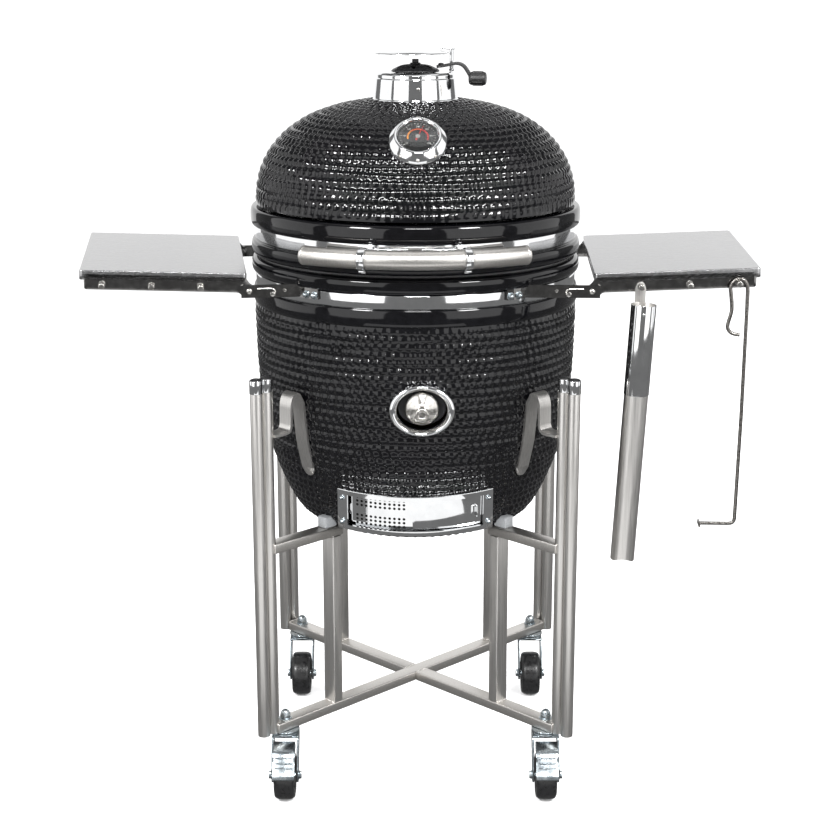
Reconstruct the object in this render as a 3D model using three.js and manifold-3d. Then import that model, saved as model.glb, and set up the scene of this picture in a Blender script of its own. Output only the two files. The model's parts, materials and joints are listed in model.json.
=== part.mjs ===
// Kamado charcoal grill: ceramic bowl and lid in a four-leg steel cart on casters,
// with two folding side shelves and two hanging tools.
// Millimetres, +Z up, the front faces -Y, the origin is on the floor at the middle of the overall box.
import * as THREE from 'three';
import { mergeVertices } from 'three/addons/utils/BufferGeometryUtils.js';
import Module from 'manifold-3d';

const wasm = await Module();
wasm.setup();

// ---- Overall sizes ----
const bodyRadius = 256; // smooth ceramic rims, the widest part of the body
const rimHeight = 825; // joint between base and lid, above the floor
const bowlDepth = 427; // joint down to the underside of the bowl
const lidHeight = 232; // joint up to the chimney seat
const wallThickness = 24; // ceramic wall
const wheelDiameter = 75;
const cartMargin = 65; // rims out to the leg centres, along the diagonals
const shelfWidth = 242; // outward from the body
const shelfDepth = 370; // front to back
const gap = 0.3; // clearance between touching pieces
const roundSteps = 36; // facets on large rounds

// ---- Rims and bands, heights measured from the joint ----
const gasketThickness = 2.4;
const gasketWidth = 18;
const rimBeadHeight = 24;
const bandHeight = 20;
const bandThickness = 2.5;
const bandInset = 9; // band seat below the bead
const shoulderHeight = 27;
const bandLow = rimBeadHeight + 4; // edge of the band nearest the joint
const shoulderLow = bandLow + bandHeight + 2;
const shoulderHigh = shoulderLow + shoulderHeight;
const bandSeatRadius = bodyRadius - bandInset;
const bandOuterRadius = bandSeatRadius + gap + bandThickness;

// ---- Chimney and vent ----
const chimneyBaseRadius = 66;
const chimneyTopRadius = 62;
const chimneyHeight = 40;
const chimneyWall = 4;
const flueRadius = 46;
const ventRadius = 37;
const ventRise = 13;
const leverReach = 96;
const leverAngle = -12; // degrees from +X
const rainRadius = 58;
const rainHeight = 36; // above the chimney top
const rainPostRadius = 3.5;
const rainPostAngle = 17; // degrees from +X

// ---- Thermometer ----
const gaugeRadius = 43;
const gaugeHeight = 26;
const gaugeDialRadius = 27;
const gaugeSink = 7; // depth let into the lid
const gaugeHoleRadius = 4;

// ---- Handle ----
const handleRadius = 14; // tube
const handleStandoff = 22; // band face to tube
const handleHalfAngle = 34;
const handleClampAngle = 15;
const handleClampWidth = 11;
const handleDrop = 6; // tube centre below the band centre

// ---- Rear hinge ----
const hingePinRadius = 5;
const hingeStandoff = 30; // rim bead to pin centre
const hingeEarSpacing = 120;
const hingeEarThickness = 4;

// ---- Chip port in the bowl front ----
const portWidth = 96;
const portHeight = 78;
const portDrop = 196; // below the joint
const portOffset = 10;
const portRim = 9;
const portDiscRadius = 25;
const portKnobRadius = 10;

// ---- Draft door ----
const draftDrop = 364; // frame centre below the joint
const draftHeight = 66;
const draftHalfAngle = 30;
const draftTilt = 9; // degrees, top leaning out
const draftRail = 8;
const draftDepth = 12;
const panelThickness = 1.5;
const draftOpeningHeight = 40;
const draftOpeningAngle = 13;
const screenColumns = 11;

// ---- Fire bowl and grates ----
const fireWall = 24;
const fireboxClearance = 10.7; // firebox top below the chip port
const grateDrop = 96.4; // joint down to the top of the fire ring
const grateBars = 13;

// ---- Cart ----
const tubeDiameter = 19;
const legDrop = 153; // joint down to the leg tops
const barWidth = 25;
const barHeight = 15;
const uprightDepth = 17;
const casterHeadroom = 31; // wheel top up to the underside of the lower bars
const cradleClearance = 2; // bowl above the inner ends of the upper bars
const legSetback = 24; // leg centre outside the caster stem, each way
const padInset = 62.3; // rims in to the pads that carry the bowl
const uprightInset = 6; // pads in to the uprights, each way
const strapWidth = 25;
const strapThickness = 4;
const strapRise = 242; // bowl's underside up to the strap tops
const strapTabRise = 184;
const strapFootRise = 107;

// ---- Casters ----
const wheelWidth = 32;
const casterTrail = 26;
const casterPlateRadius = 22;
const stemRadius = 5;
const axleRadius = 4;
const forkPlate = 3;

// ---- Shelves ----
const pivotStandoff = 12; // rims out to the pivot axis
const pivotDrop = 30; // joint down to the pivot axis
const pivotForward = 9; // towards the front
const shelfTilt = 2.5; // degrees, outer edge up
const leftShelfYaw = 7.5;
const rightShelfYaw = -2.5;
const trayRise = 26; // tray top above the pivot
const trayLip = 14;
const sheet = 2;
const railThickness = 4;
const pegCount = 3;
const pegMargin = 29; // last peg to the outer edge of the tray
const pegLength = 22;
const pegRadius = 3;

// ---- Tools ----
const scoopRadius = 18;
const scoopWall = 1.6;
const scoopHandleLength = 135;
const scoopLength = 392;
const scoopLean = 3;
const rodRadius = 2.8;

// ---- Places that follow from the sizes above ----
const wheelRadius = wheelDiameter / 2;
const legBottom = wheelDiameter + casterHeadroom;
const lowerBarTop = legBottom + barHeight;
const casterPlateTop = legBottom - gap;
const legTop = rimHeight - legDrop;
const legReach = (bodyRadius + cartMargin) * Math.SQRT1_2;
const stemReach = legReach - legSetback;
const padRadius = bodyRadius - padInset;
const uprightReach = padRadius * Math.SQRT1_2 - uprightInset;
const pivotReach = bodyRadius + pivotStandoff;
const pivotHeight = rimHeight - pivotDrop;
const pegPitch = (shelfWidth - pegMargin) / pegCount;

const steel = { color: 0xb9bcc0, roughness: 0.28, metalness: 1 };
const chrome = { color: 0xd5d8dc, roughness: 0.08, metalness: 1 };
const zinc = { color: 0xb4bcc4, roughness: 0.35, metalness: 0.9 };
const blackSteel = { color: 0x141416, roughness: 0.45, metalness: 0.6 };
const glaze = { color: 0x08080a, roughness: 0.12, metalness: 0 };
const fireclay = { color: 0xb59f86, roughness: 0.9, metalness: 0 };
const felt = { color: 0x2b2b2c, roughness: 0.95, metalness: 0 };
const rubber = { color: 0x151617, roughness: 0.7, metalness: 0 };
const plastic = { color: 0x101011, roughness: 0.4, metalness: 0 };
const iron = { color: 0x2a2a2b, roughness: 0.8, metalness: 0.5 };
const dialBlack = { color: 0x1a1a1c, roughness: 0.5, metalness: 0 };
const needleRed = { color: 0xc21a12, roughness: 0.4, metalness: 0 };

const radians = (degrees) => THREE.MathUtils.degToRad(degrees);

// ---- Solids ----
function signedVolume(positions, triangles) {
  let total = 0;
  const corners = [new THREE.Vector3(), new THREE.Vector3(), new THREE.Vector3()];
  for (let i = 0; i < triangles.length; i += 3) {
    corners.forEach((corner, k) => corner.fromArray(positions, 3 * triangles[i + k]));
    total += corners[0].dot(corners[1].clone().cross(corners[2]));
  }
  return total;
}

function solid(geometry) {
  const bare = geometry.clone();
  bare.deleteAttribute('normal');
  bare.deleteAttribute('uv');
  const merged = mergeVertices(bare, 1e-3);
  const positions = merged.attributes.position.array;
  const index = merged.index.array;
  const triangles = [];
  for (let i = 0; i < index.length; i += 3) {
    const [a, b, c] = index.slice(i, i + 3);
    if (a !== b && b !== c && c !== a) triangles.push(a, b, c);
  }
  if (signedVolume(positions, triangles) < 0) triangles.reverse();
  const vertProperties = new Float32Array(positions);
  const triVerts = new Uint32Array(triangles);
  return new wasm.Manifold(new wasm.Mesh({ numProp: 3, vertProperties, triVerts }));
}

const join = (first, ...others) => others.reduce((total, part) => total.add(part), first);
const cut = (first, ...others) => others.reduce((total, part) => total.subtract(part), first);

function piece(name, body, look) {
  const result = body.getMesh();
  const geometry = new THREE.BufferGeometry();
  const stride = result.numProp;
  const positions = new Float32Array((result.vertProperties.length / stride) * 3);
  for (let i = 0; i < positions.length / 3; i += 1) {
    positions.set(result.vertProperties.slice(i * stride, i * stride + 3), i * 3);
  }
  geometry.setAttribute('position', new THREE.BufferAttribute(positions, 3));
  geometry.setIndex([...result.triVerts]);
  geometry.computeVertexNormals();
  const mesh = new THREE.Mesh(geometry, new THREE.MeshStandardMaterial(look));
  mesh.name = name;
  return mesh;
}

// Profile points are [radius, height]; the solid turns about Z.
function turned(points, steps = roundSteps) {
  const profile = points.map(([r, z]) => new THREE.Vector2(r, z));
  return solid(new THREE.LatheGeometry(profile, steps).rotateX(Math.PI / 2));
}

function ring(inner, outer, low, high, steps = roundSteps) {
  return turned([[inner, low], [outer, low], [outer, high], [inner, high], [inner, low]], steps);
}

function place(geometry, [x, y, z], turn = [0, 0, 0]) {
  const rotation = new THREE.Euler(...turn.map(radians));
  geometry.applyMatrix4(new THREE.Matrix4().makeRotationFromEuler(rotation));
  geometry.translate(x, y, z);
  return solid(geometry);
}

const box = (size, at, turn) => place(new THREE.BoxGeometry(...size), at, turn);

// A rod along X, Y or Z, centred on a point.
function rod(axis, radius, length, at, steps = 16) {
  const geometry = new THREE.CylinderGeometry(radius, radius, length, steps);
  if (axis === 'x') geometry.rotateZ(Math.PI / 2);
  if (axis === 'z') geometry.rotateX(Math.PI / 2);
  return place(geometry, at);
}

// A plate drawn as [across, up] points: 'xz' faces the front, 'yz' faces the side, 'xy' lies flat.
function plate(plane, outline, low, high, holes = []) {
  const shape = new THREE.Shape(outline.map(([a, b]) => new THREE.Vector2(a, b)));
  holes.forEach(([a, b, radius]) => {
    shape.holes.push(new THREE.Path().absarc(a, b, radius, 0, 2 * Math.PI, true));
  });
  const settings = { depth: high - low, bevelEnabled: false, curveSegments: 6 };
  const geometry = new THREE.ExtrudeGeometry(shape, settings).translate(0, 0, low);
  if (plane === 'xz') geometry.rotateX(Math.PI / 2).scale(1, -1, 1);
  if (plane === 'yz') geometry.rotateZ(Math.PI / 2).rotateY(Math.PI / 2);
  return solid(geometry);
}

// Part of a ring about Z; angles in degrees from the front, positive towards +X.
function sector(inner, outer, from, to, low, high, steps = 16, frame = new THREE.Matrix4()) {
  const start = radians(from - 90);
  const end = radians(to - 90);
  const shape = new THREE.Shape();
  shape.absarc(0, 0, outer, start, end, false);
  shape.absarc(0, 0, inner, end, start, true);
  const settings = { depth: high - low, bevelEnabled: false, curveSegments: steps };
  return solid(new THREE.ExtrudeGeometry(shape, settings).translate(0, 0, low).applyMatrix4(frame));
}

function oval(width, height, from, to, at) {
  const shape = new THREE.Shape().absellipse(0, 0, width / 2, height / 2, 0, 2 * Math.PI);
  const settings = { depth: to - from, bevelEnabled: false, curveSegments: 24 };
  const geometry = new THREE.ExtrudeGeometry(shape, settings).rotateX(Math.PI / 2);
  return solid(geometry.translate(at[0], to, at[1]));
}

// A round bar from one point to another, run on a little at both ends.
function strut(from, to, radius) {
  const start = new THREE.Vector3(...from);
  const along = new THREE.Vector3(...to).sub(start);
  const geometry = new THREE.CylinderGeometry(radius, radius, along.length() + radius, 6);
  geometry.translate(0, along.length() / 2, 0);
  const upright = new THREE.Vector3(0, 1, 0);
  const turn = new THREE.Quaternion().setFromUnitVectors(upright, along.clone().normalize());
  return solid(geometry.applyQuaternion(turn).translate(...from));
}

function bentRod(points, radius, steps, sides = 8) {
  const stops = points.map((point) => new THREE.Vector3(...point));
  const path = new THREE.CatmullRomCurve3(stops, false, 'catmullrom', 0.3);
  const shape = new THREE.Shape().absarc(0, 0, radius, 0, 2 * Math.PI);
  const settings = { steps, bevelEnabled: false, extrudePath: path, curveSegments: sides / 2 };
  return solid(new THREE.ExtrudeGeometry(shape, settings));
}

// A flat bar bent along [a, b] points, given as the outline of its edge.
function bentBar(points, thickness) {
  const sides = [1, -1].map((side) => points.map((point, i) => {
    const before = points[Math.max(i - 1, 0)];
    const after = points[Math.min(i + 1, points.length - 1)];
    const length = Math.hypot(after[0] - before[0], after[1] - before[1]);
    const across = [-(after[1] - before[1]) / length, (after[0] - before[0]) / length];
    return [point[0] + side * across[0] * thickness / 2, point[1] + side * across[1] * thickness / 2];
  }));
  return [...sides[0], ...sides[1].reverse()];
}

function radiusAt(profile, height) {
  for (let i = 1; i < profile.length; i += 1) {
    const [r0, z0] = profile[i - 1];
    const [r1, z1] = profile[i];
    const between = (z0 - height) * (z1 - height) <= 0;
    if (between && z0 !== z1) return r0 + (r1 - r0) * (height - z0) / (z1 - z0);
  }
  return profile[profile.length - 1][0];
}

function heightAt(profile, radius) {
  for (let i = 1; i < profile.length; i += 1) {
    const [r0, z0] = profile[i - 1];
    const [r1, z1] = profile[i];
    const between = (r0 - radius) * (r1 - radius) <= 0;
    if (between && r0 !== r1) return z0 + (z1 - z0) * (radius - r0) / (r1 - r0);
  }
  return profile[profile.length - 1][1];
}

function group(at = [0, 0, 0], turn = [0, 0, 0]) {
  const made = new THREE.Group();
  made.position.set(...at);
  made.rotation.set(...turn.map(radians));
  return made;
}

// ---- Ceramic body, heights from the joint ----
const bowlSteps = [
  [0.977, 0.205], [0.962, 0.431], [0.926, 0.623], [0.859, 0.778], [0.734, 0.932], [0.6, 0.985], [0.47, 1],
];
const domeSteps = [
  [0.957, 0.398], [0.945, 0.497], [0.907, 0.616], [0.841, 0.727], [0.749, 0.822], [0.631, 0.9],
  [0.483, 0.958], [0.36, 0.986], [0.28, 1],
];
const bowlProfile = bowlSteps.map(([r, z]) => [r * bodyRadius, -z * bowlDepth]);
const domeProfile = domeSteps.map(([r, z]) => [r * bodyRadius, z * lidHeight]);

// Rim bead, band seat and shoulder bead, from the joint outward (side +1 up, -1 down).
function rimProfile(side, shoulderRadius) {
  const up = (height) => side * height;
  return [
    [bodyRadius - 7, up(gasketThickness / 2 + gap)],
    [bodyRadius, up(8)],
    [bodyRadius, up(rimBeadHeight - 6)],
    [bandSeatRadius, up(rimBeadHeight + 1)],
    [bandSeatRadius, up(shoulderLow)],
    [shoulderRadius, up(shoulderLow + 7)],
    [shoulderRadius, up(shoulderHigh - 7)],
    [shoulderRadius - 5, up(shoulderHigh)],
  ];
}

function innerWall(outline, thickness) {
  return outline.map((point, i) => {
    const before = outline[Math.max(i - 1, 0)];
    const after = outline[Math.min(i + 1, outline.length - 1)];
    const length = Math.hypot(after[0] - before[0], after[1] - before[1]);
    const side = after[1] > before[1] ? 1 : -1;
    const across = [-side * (after[1] - before[1]) / length, side * (after[0] - before[0]) / length];
    return [point[0] + thickness * across[0], point[1] + thickness * across[1]];
  });
}

const seatRadius = bodyRadius - gasketWidth - 12;
const baseOutline = [...rimProfile(-1, bodyRadius - 3), ...bowlProfile];
const lidOutline = [...rimProfile(1, bodyRadius + 1), ...domeProfile];
const bowlInner = innerWall(bowlProfile, wallThickness);
const domeInner = innerWall(domeProfile, wallThickness);

const draftTopHeight = -draftDrop + draftHeight / 2;
const trackRadius = radiusAt(baseOutline, draftTopHeight) + 2.5;
const draftOuterRadius = trackRadius + draftDepth;

function draftGroup() {
  const lift = trackRadius * Math.sin(radians(draftTilt));
  return group([0, 0, rimHeight - draftDrop + lift], [draftTilt, 0, 0]);
}

// A sector given in the tilted frame of the draft door.
function draftSector(inner, outer, halfAngle, height) {
  const frame = draftGroup();
  frame.updateMatrix();
  return sector(inner, outer, -halfAngle, halfAngle, -height / 2, height / 2, 12, frame.matrix);
}

function atRim(profile) {
  return profile.map(([r, z]) => [r, z + rimHeight]);
}

// The outside of the bowl, grown by a clearance and seen from another frame.
function bowlEnvelope(clearance, frame = new THREE.Matrix4()) {
  const outline = atRim(baseOutline.map(([r, z]) => [r + clearance, z]));
  const top = outline[0][1] + 1;
  const bottom = outline[outline.length - 1][1] - clearance;
  const profile = [[0, top], ...outline, [0, bottom]].map(([r, z]) => new THREE.Vector2(r, z));
  return solid(new THREE.LatheGeometry(profile, roundSteps).rotateX(Math.PI / 2).applyMatrix4(frame));
}

function portOval(grow, from, to) {
  const size = [portWidth - 2 * portRim + 2 * grow, portHeight - 2 * portRim + 2 * grow];
  return oval(size[0], size[1], from, to, [portOffset, rimHeight - portDrop]);
}

function baseShell() {
  const floor = -bowlDepth + wallThickness;
  const corner = bowlProfile[bowlProfile.length - 1][0] - wallThickness / 2;
  const inner = [[0, floor], [corner, floor], ...bowlInner.filter(([r, z]) => z > floor + 1).reverse()];
  const closing = [[seatRadius, -shoulderHigh], [seatRadius, baseOutline[0][1]]];
  const outside = [[0, -bowlDepth], ...[...baseOutline].reverse()];
  const profile = [...outside, ...closing.reverse(), ...inner.reverse()];
  const shell = turned(atRim(profile));
  const draft = draftSector(0.4 * bodyRadius, draftOuterRadius, draftOpeningAngle, draftOpeningHeight);
  const sleeve = portOval(gap, -bodyRadius - 20, -0.6 * bodyRadius);
  return piece('base_shell', cut(shell, draft, sleeve), glaze);
}

function lidShell() {
  const top = lidOutline[lidOutline.length - 1];
  const opening = flueRadius + 6;
  const inner = domeInner.filter(([r, z]) => r > opening + 2 && z < lidHeight - 8);
  const profile = [
    ...lidOutline,
    [opening, top[1]],
    [opening, heightAt(domeInner, opening)],
    ...[...inner].reverse(),
    [seatRadius, shoulderHigh],
    [seatRadius, lidOutline[0][1]],
    lidOutline[0],
  ];
  return turned(atRim(profile));
}

function gasket(name, side) {
  const inner = seatRadius + 2;
  const middle = rimHeight + side * (gasketThickness / 4 + gap / 2);
  const half = gasketThickness / 4;
  return piece(name, ring(inner, inner + gasketWidth, middle - half, middle + half), felt);
}

function band(name, side) {
  const middle = rimHeight + side * (bandLow + bandHeight / 2 - 1);
  const low = middle - bandHeight / 2;
  const body = ring(bandSeatRadius + gap, bandOuterRadius, low, low + bandHeight);
  return { middle, low, body, name };
}

// ---- Chimney ----
function chimney() {
  const low = rimHeight + lidHeight + gap;
  const top = low + chimneyHeight;
  const profile = [
    [flueRadius, low], [chimneyBaseRadius, low], [chimneyBaseRadius, low + 3],
    [chimneyTopRadius, top], [chimneyTopRadius - 6, top + 3], [ventRadius + 6, top + 3],
    [ventRadius - 5, top + 1], [ventRadius - 5, top - 3], [chimneyTopRadius - chimneyWall, top - 4],
    [chimneyTopRadius - chimneyWall, low + 6], [flueRadius, low + 6], [flueRadius, low],
  ];
  return piece('chimney_body', turned(profile, 32), chrome);
}

const chimneyTop = rimHeight + lidHeight + gap + chimneyHeight;
const ventSeat = chimneyTop + 3 + gap;

// Domed disc with six vent slots, its nut on top.
function ventDome() {
  const shell = [
    [0, ventSeat + ventRise - 3], [ventRadius * 0.55, ventSeat + ventRise - 6], [ventRadius - 4, ventSeat],
    [ventRadius, ventSeat], [ventRadius, ventSeat + 3], [ventRadius * 0.6, ventSeat + ventRise - 3],
    [0, ventSeat + ventRise],
  ];
  let dome = turned(shell, 32);
  for (let i = 0; i < 6; i += 1) {
    const turn = 60 * i + 24;
    const at = [0.62 * ventRadius * Math.cos(radians(turn)), 0.62 * ventRadius * Math.sin(radians(turn))];
    dome = cut(dome, box([0.42 * ventRadius, 5, 40], [...at, ventSeat], [0, 0, turn]));
  }
  const nut = rod('z', 5.5, 9, [0, 0, ventSeat + ventRise + 2.5], 6);
  return piece('vent_dome', join(dome, nut), blackSteel);
}

function ventLever() {
  const holder = group([0, 0, 0], [0, 0, leverAngle]);
  const start = ventRadius - 3;
  const outline = bentBar([
    [start, ventSeat + 8], [ventRadius + 8, ventSeat + 9.5], [leverReach - 30, ventSeat + 14],
    [leverReach - 20, ventSeat + 10], [leverReach - 12, ventSeat - 2], [leverReach - 8, ventSeat - 10],
  ], 5);
  const knob = rod('x', 10.5, 26, [leverReach + 1, 0, ventSeat - 9], 20);
  holder.add(piece('vent_lever', join(plate('xz', outline, -6, 6), knob), plastic));
  return holder;
}

function rainLid() {
  const reach = chimneyTopRadius - 3.5;
  const post = [reach * Math.cos(radians(rainPostAngle)), reach * Math.sin(radians(rainPostAngle))];
  const low = chimneyTop + 3 + gap;
  const top = chimneyTop + rainHeight;
  const disc = rod('z', rainRadius, 2.5, [-6, 0, top + 1.25], 40);
  const ear = box([24, 14, 2.5], [post[0] - 6, post[1] - 2, top + 1.25], [0, 0, rainPostAngle]);
  const stem = rod('z', rainPostRadius, top - low + 1, [...post, (top + low) / 2 + 0.5], 12);
  return piece('rain_lid', join(disc, ear, stem), chrome);
}

// ---- Thermometer, built about its own axis, then leaned with the lid ----
const gaugeSeat = 0.77 * bodyRadius;
const gaugeLean = 90 - THREE.MathUtils.radToDeg(Math.atan2(
  (domeSteps[3][0] - domeSteps[4][0]) * bodyRadius,
  (domeSteps[4][1] - domeSteps[3][1]) * lidHeight,
));

function gaugeGroup() {
  const height = rimHeight + heightAt(domeProfile, gaugeSeat);
  return group([4, -gaugeSeat, height], [gaugeLean, 0, 0]);
}

function thermometer() {
  const holder = gaugeGroup();
  const low = -gaugeSink;
  const top = low + gaugeHeight;
  const bezel = turned([
    [0, low], [gaugeRadius - 2, low], [gaugeRadius, low + 4], [gaugeRadius, low + 9],
    [gaugeRadius - 5, top - 5], [gaugeDialRadius + 5, top], [gaugeDialRadius + 2, top],
    [gaugeDialRadius + 1, top - 6], [0, top - 6],
  ], 32);
  const dial = ring(gaugeHoleRadius - 2, gaugeDialRadius, top - 6 + gap, top - 4.5, 32);
  const pointer = join(
    rod('z', 3, 2.4, [0, 0, top - 2.6], 16),
    box([2, gaugeDialRadius * 1.15, 0.8], [4, gaugeDialRadius * 0.28, top - 3], [0, 0, -22]),
  );
  holder.add(piece('thermometer_case', bezel, chrome));
  holder.add(piece('thermometer_dial', dial, dialBlack));
  holder.add(piece('thermometer_needle', pointer, needleRed));
  return holder;
}

function gaugePocket() {
  const holder = gaugeGroup();
  holder.updateMatrix();
  const geometry = new THREE.CylinderGeometry(gaugeRadius + gap, gaugeRadius + gap, 40, 32);
  geometry.rotateX(Math.PI / 2).translate(0, 0, 20 - gaugeSink - gap).applyMatrix4(holder.matrix);
  return solid(geometry);
}

// ---- Handle ----
const lidBandMiddle = rimHeight + bandLow + bandHeight / 2 - 1;
const handleArc = bandOuterRadius + handleStandoff + handleRadius;
const handleHeight = lidBandMiddle - handleDrop;

function handle() {
  const points = [];
  for (let i = 0; i <= 12; i += 1) {
    const angle = radians(-handleHalfAngle + (2 * handleHalfAngle * i) / 12);
    points.push([handleArc * Math.sin(angle), -handleArc * Math.cos(angle), handleHeight]);
  }
  return piece('handle_tube', bentRod(points, handleRadius, 16, 16), steel);
}

function handleBracket(name, side) {
  const holder = group([0, 0, 0], [0, 0, side * handleClampAngle]);
  const loop = cut(
    rod('x', handleRadius + 3, handleClampWidth, [0, -handleArc, handleHeight], 24),
    rod('x', handleRadius + gap + 0.4, handleClampWidth + 2, [0, -handleArc, handleHeight], 24),
  );
  const inner = bandOuterRadius + gap;
  const outer = handleArc - handleRadius - 1;
  const stem = box([handleClampWidth, outer - inner, 10], [0, -(outer + inner) / 2, lidBandMiddle - 2]);
  const foot = box([20, 3, 14], [0, -inner - 1.5, lidBandMiddle]);
  holder.add(piece(name, join(loop, stem, foot), chrome));
  return holder;
}

// ---- Rear hinge ----
const pinReach = bodyRadius + hingeStandoff;

// Two ears on a curved pad; side -1 hangs on the base band, +1 on the lid band.
function hingeLeaf(name, side, spacing) {
  const low = side * bandLow;
  const high = side * (bandLow + bandHeight - 4);
  const near = bandOuterRadius - 6;
  const out = bodyRadius + 7;
  const outline = [
    [near, low], [out, low], [out, side * 6], [pinReach - 9, -side * 9], [pinReach + 9, -side * 9],
    [pinReach + 9, side * 9], [out + 6, high], [near, high],
  ].map(([y, z]) => [y, z + rimHeight]);
  const ordered = side > 0 ? outline : [...outline].reverse();
  const hole = [[pinReach, rimHeight, hingePinRadius + gap]];
  const half = hingeEarThickness / 2;
  const ears = [-1, 1].map((way) => {
    const middle = way * spacing / 2;
    return plate('yz', ordered, middle - half, middle + half, hole);
  });
  const span = THREE.MathUtils.radToDeg(Math.asin((spacing / 2 + 6) / bodyRadius));
  const edges = [low, high].sort((a, b) => a - b);
  const pad = sector(bandOuterRadius + gap, bandOuterRadius + 4, 180 - span, 180 + span,
    rimHeight + edges[0], rimHeight + edges[1], 12);
  const seat = ring(0, bandOuterRadius + gap, rimHeight + edges[0] - 1, rimHeight + edges[1] + 1);
  return piece(name, cut(join(pad, ...ears), seat), blackSteel);
}

function hingePin() {
  const length = hingeEarSpacing + 20;
  return piece('hinge_pin', rod('x', hingePinRadius, length, [0, pinReach, rimHeight], 16), steel);
}

// ---- Chip port ----
function port() {
  const face = bodyRadius + 4;
  const flange = cut(
    oval(portWidth, portHeight, -face, -0.8 * bodyRadius, [portOffset, rimHeight - portDrop]),
    bowlEnvelope(gap),
  );
  const sleeve = portOval(0, -face, -0.82 * bodyRadius);
  const bore = portOval(-3, -face - 10, -0.5 * bodyRadius);
  const rim = cut(join(flange, sleeve), bore);
  const at = [portOffset, rimHeight - portDrop];
  const back = face - 24;
  const inset = 2 * (portRim + 3 + gap);
  const plug = join(
    oval(portWidth - inset, portHeight - inset, -back, -back + 8, at),
    rod('y', portDiscRadius, 16, [at[0], -back - 7, at[1]], 32),
    rod('y', portKnobRadius, 30, [at[0], -back - 28, at[1]], 24),
  );
  return [piece('port_ring', rim, chrome), piece('port_plug', plug, steel)];
}

// ---- Draft door ----
function draftDoor() {
  const holder = draftGroup();
  const half = draftHeight / 2;
  const window = half - draftRail;
  const slot = window + 3;
  const slotAngle = draftHalfAngle - 2;
  const openingAngle = draftOpeningAngle;
  const openingHalf = draftOpeningHeight / 2;
  holder.updateMatrix();
  const undo = holder.matrix.clone().invert();
  const frame = cut(
    sector(trackRadius - 26, draftOuterRadius, -draftHalfAngle, draftHalfAngle, -half, half, 20),
    bowlEnvelope(gap, undo),
    sector(trackRadius, trackRadius + 9, -slotAngle, slotAngle, -slot, slot, 20),
    sector(trackRadius + 8, draftOuterRadius + 5, -slotAngle + 2, slotAngle - 2, -window, window, 20),
    sector(trackRadius - 40, trackRadius + 1, -openingAngle, openingAngle, -openingHalf, openingHalf, 12),
  );
  const reach = slotAngle - 0.5;
  const panelHalf = slot - gap;
  const screenRadius = trackRadius + 1.5;
  const doorRadius = trackRadius + 5.5;
  let screen = sector(screenRadius, screenRadius + panelThickness, -reach, 1, -panelHalf, panelHalf, 10);
  for (let i = 0; i < screenColumns; i += 1) {
    const angle = -reach + 4.5 + (i * (reach - 7)) / (screenColumns - 1);
    const slots = [-1, 1].map((way) => (
      onTrack([2.6, 12, panelHalf * 0.62], screenRadius, angle, way * panelHalf * 0.42)
    ));
    screen = cut(screen, ...slots);
  }
  const screenTab = onTrack([2, 3.6, 16], screenRadius + 2, -reach + 2, 0);
  const door = join(
    sector(doorRadius, doorRadius + panelThickness, -1, reach, -panelHalf, panelHalf, 10),
    onTrack([2, 7, 16], doorRadius + 4, reach - 4, 0),
  );
  holder.add(piece('draft_frame', frame, chrome));
  holder.add(piece('draft_screen', join(screen, screenTab), steel));
  holder.add(piece('draft_door', door, chrome));
  return holder;
}

// A block facing out from the track of the draft door, at an angle from the front.
function onTrack(size, radius, angle, height) {
  const at = [radius * Math.sin(radians(angle)), -radius * Math.cos(radians(angle)), height];
  return box(size, at, [0, 0, angle]);
}

// ---- Fire bowl and grates ----
function fireParts() {
  const floor = rimHeight - bowlDepth + wallThickness + gap;
  const inner = atRim(bowlInner);
  const fit = (height, less) => radiusAt(inner, height) - less;
  const top = rimHeight - portDrop - portHeight / 2 - fireboxClearance;
  const low = floor + 26;
  const heights = [0, 0.18, 0.43, 0.7, 1].map((share) => low + share * (top - low));
  const outer = heights.map((height) => [fit(height, 7), height]);
  const liner = outer.map(([r, z]) => [r - fireWall, Math.max(z, floor + 30)]).reverse();
  const profile = [
    [70, floor], [Math.max(90, fit(floor + 4, 60)), floor], ...outer,
    ...liner.slice(0, -1), [70, floor + 40], [70, floor],
  ];
  const vent = draftSector(40, bodyRadius, draftOpeningAngle + 2, draftOpeningHeight + 8);
  const firebox = cut(turned(profile, 28), vent);
  const ringTop = rimHeight - grateDrop;
  const ringOuter = fit(top + 6, 5);
  const fireRing = cut(
    ring(ringOuter - fireWall, ringOuter, top + gap, ringTop, 28),
    portOval(6, -bodyRadius, 0),
  );
  const coal = charcoalGrate(floor + 100, 0.9 * (fit(floor + 100, 4) - fireWall));
  return [
    piece('firebox', firebox, fireclay),
    piece('fire_ring', fireRing, fireclay),
    coal,
    cookingGrate(ringTop + gap, ringOuter),
  ];
}

function charcoalGrate(height, radius) {
  let disc = rod('z', radius, 8, [0, 0, height], 32);
  for (let i = -3; i <= 3; i += 1) {
    const across = (i * radius) / 4.4;
    const length = 1.6 * Math.sqrt(radius * radius - across * across);
    disc = cut(disc, box([9, length, 20], [across, 0, height]));
  }
  return piece('charcoal_grate', disc, iron);
}

function cookingGrate(low, radius) {
  const wire = 3;
  const height = low + wire;
  const outer = ring(radius - 2 * wire, radius, low, low + 2 * wire, 32);
  const bars = [];
  for (let i = 0; i < grateBars; i += 1) {
    const across = (2 * i / (grateBars - 1) - 1) * radius * 0.9;
    const length = 2 * Math.sqrt(radius * radius - across * across) - 2 * wire;
    bars.push(rod('y', wire - 0.5, length, [across, 0, height + 2.5], 6));
  }
  const cross = [-1, 1].map((way) => (
    rod('x', wire - 0.2, 2 * radius * 0.86, [0, way * radius * 0.45, height], 6)
  ));
  return piece('cooking_grate', join(outer, ...cross, ...bars), steel);
}

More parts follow.
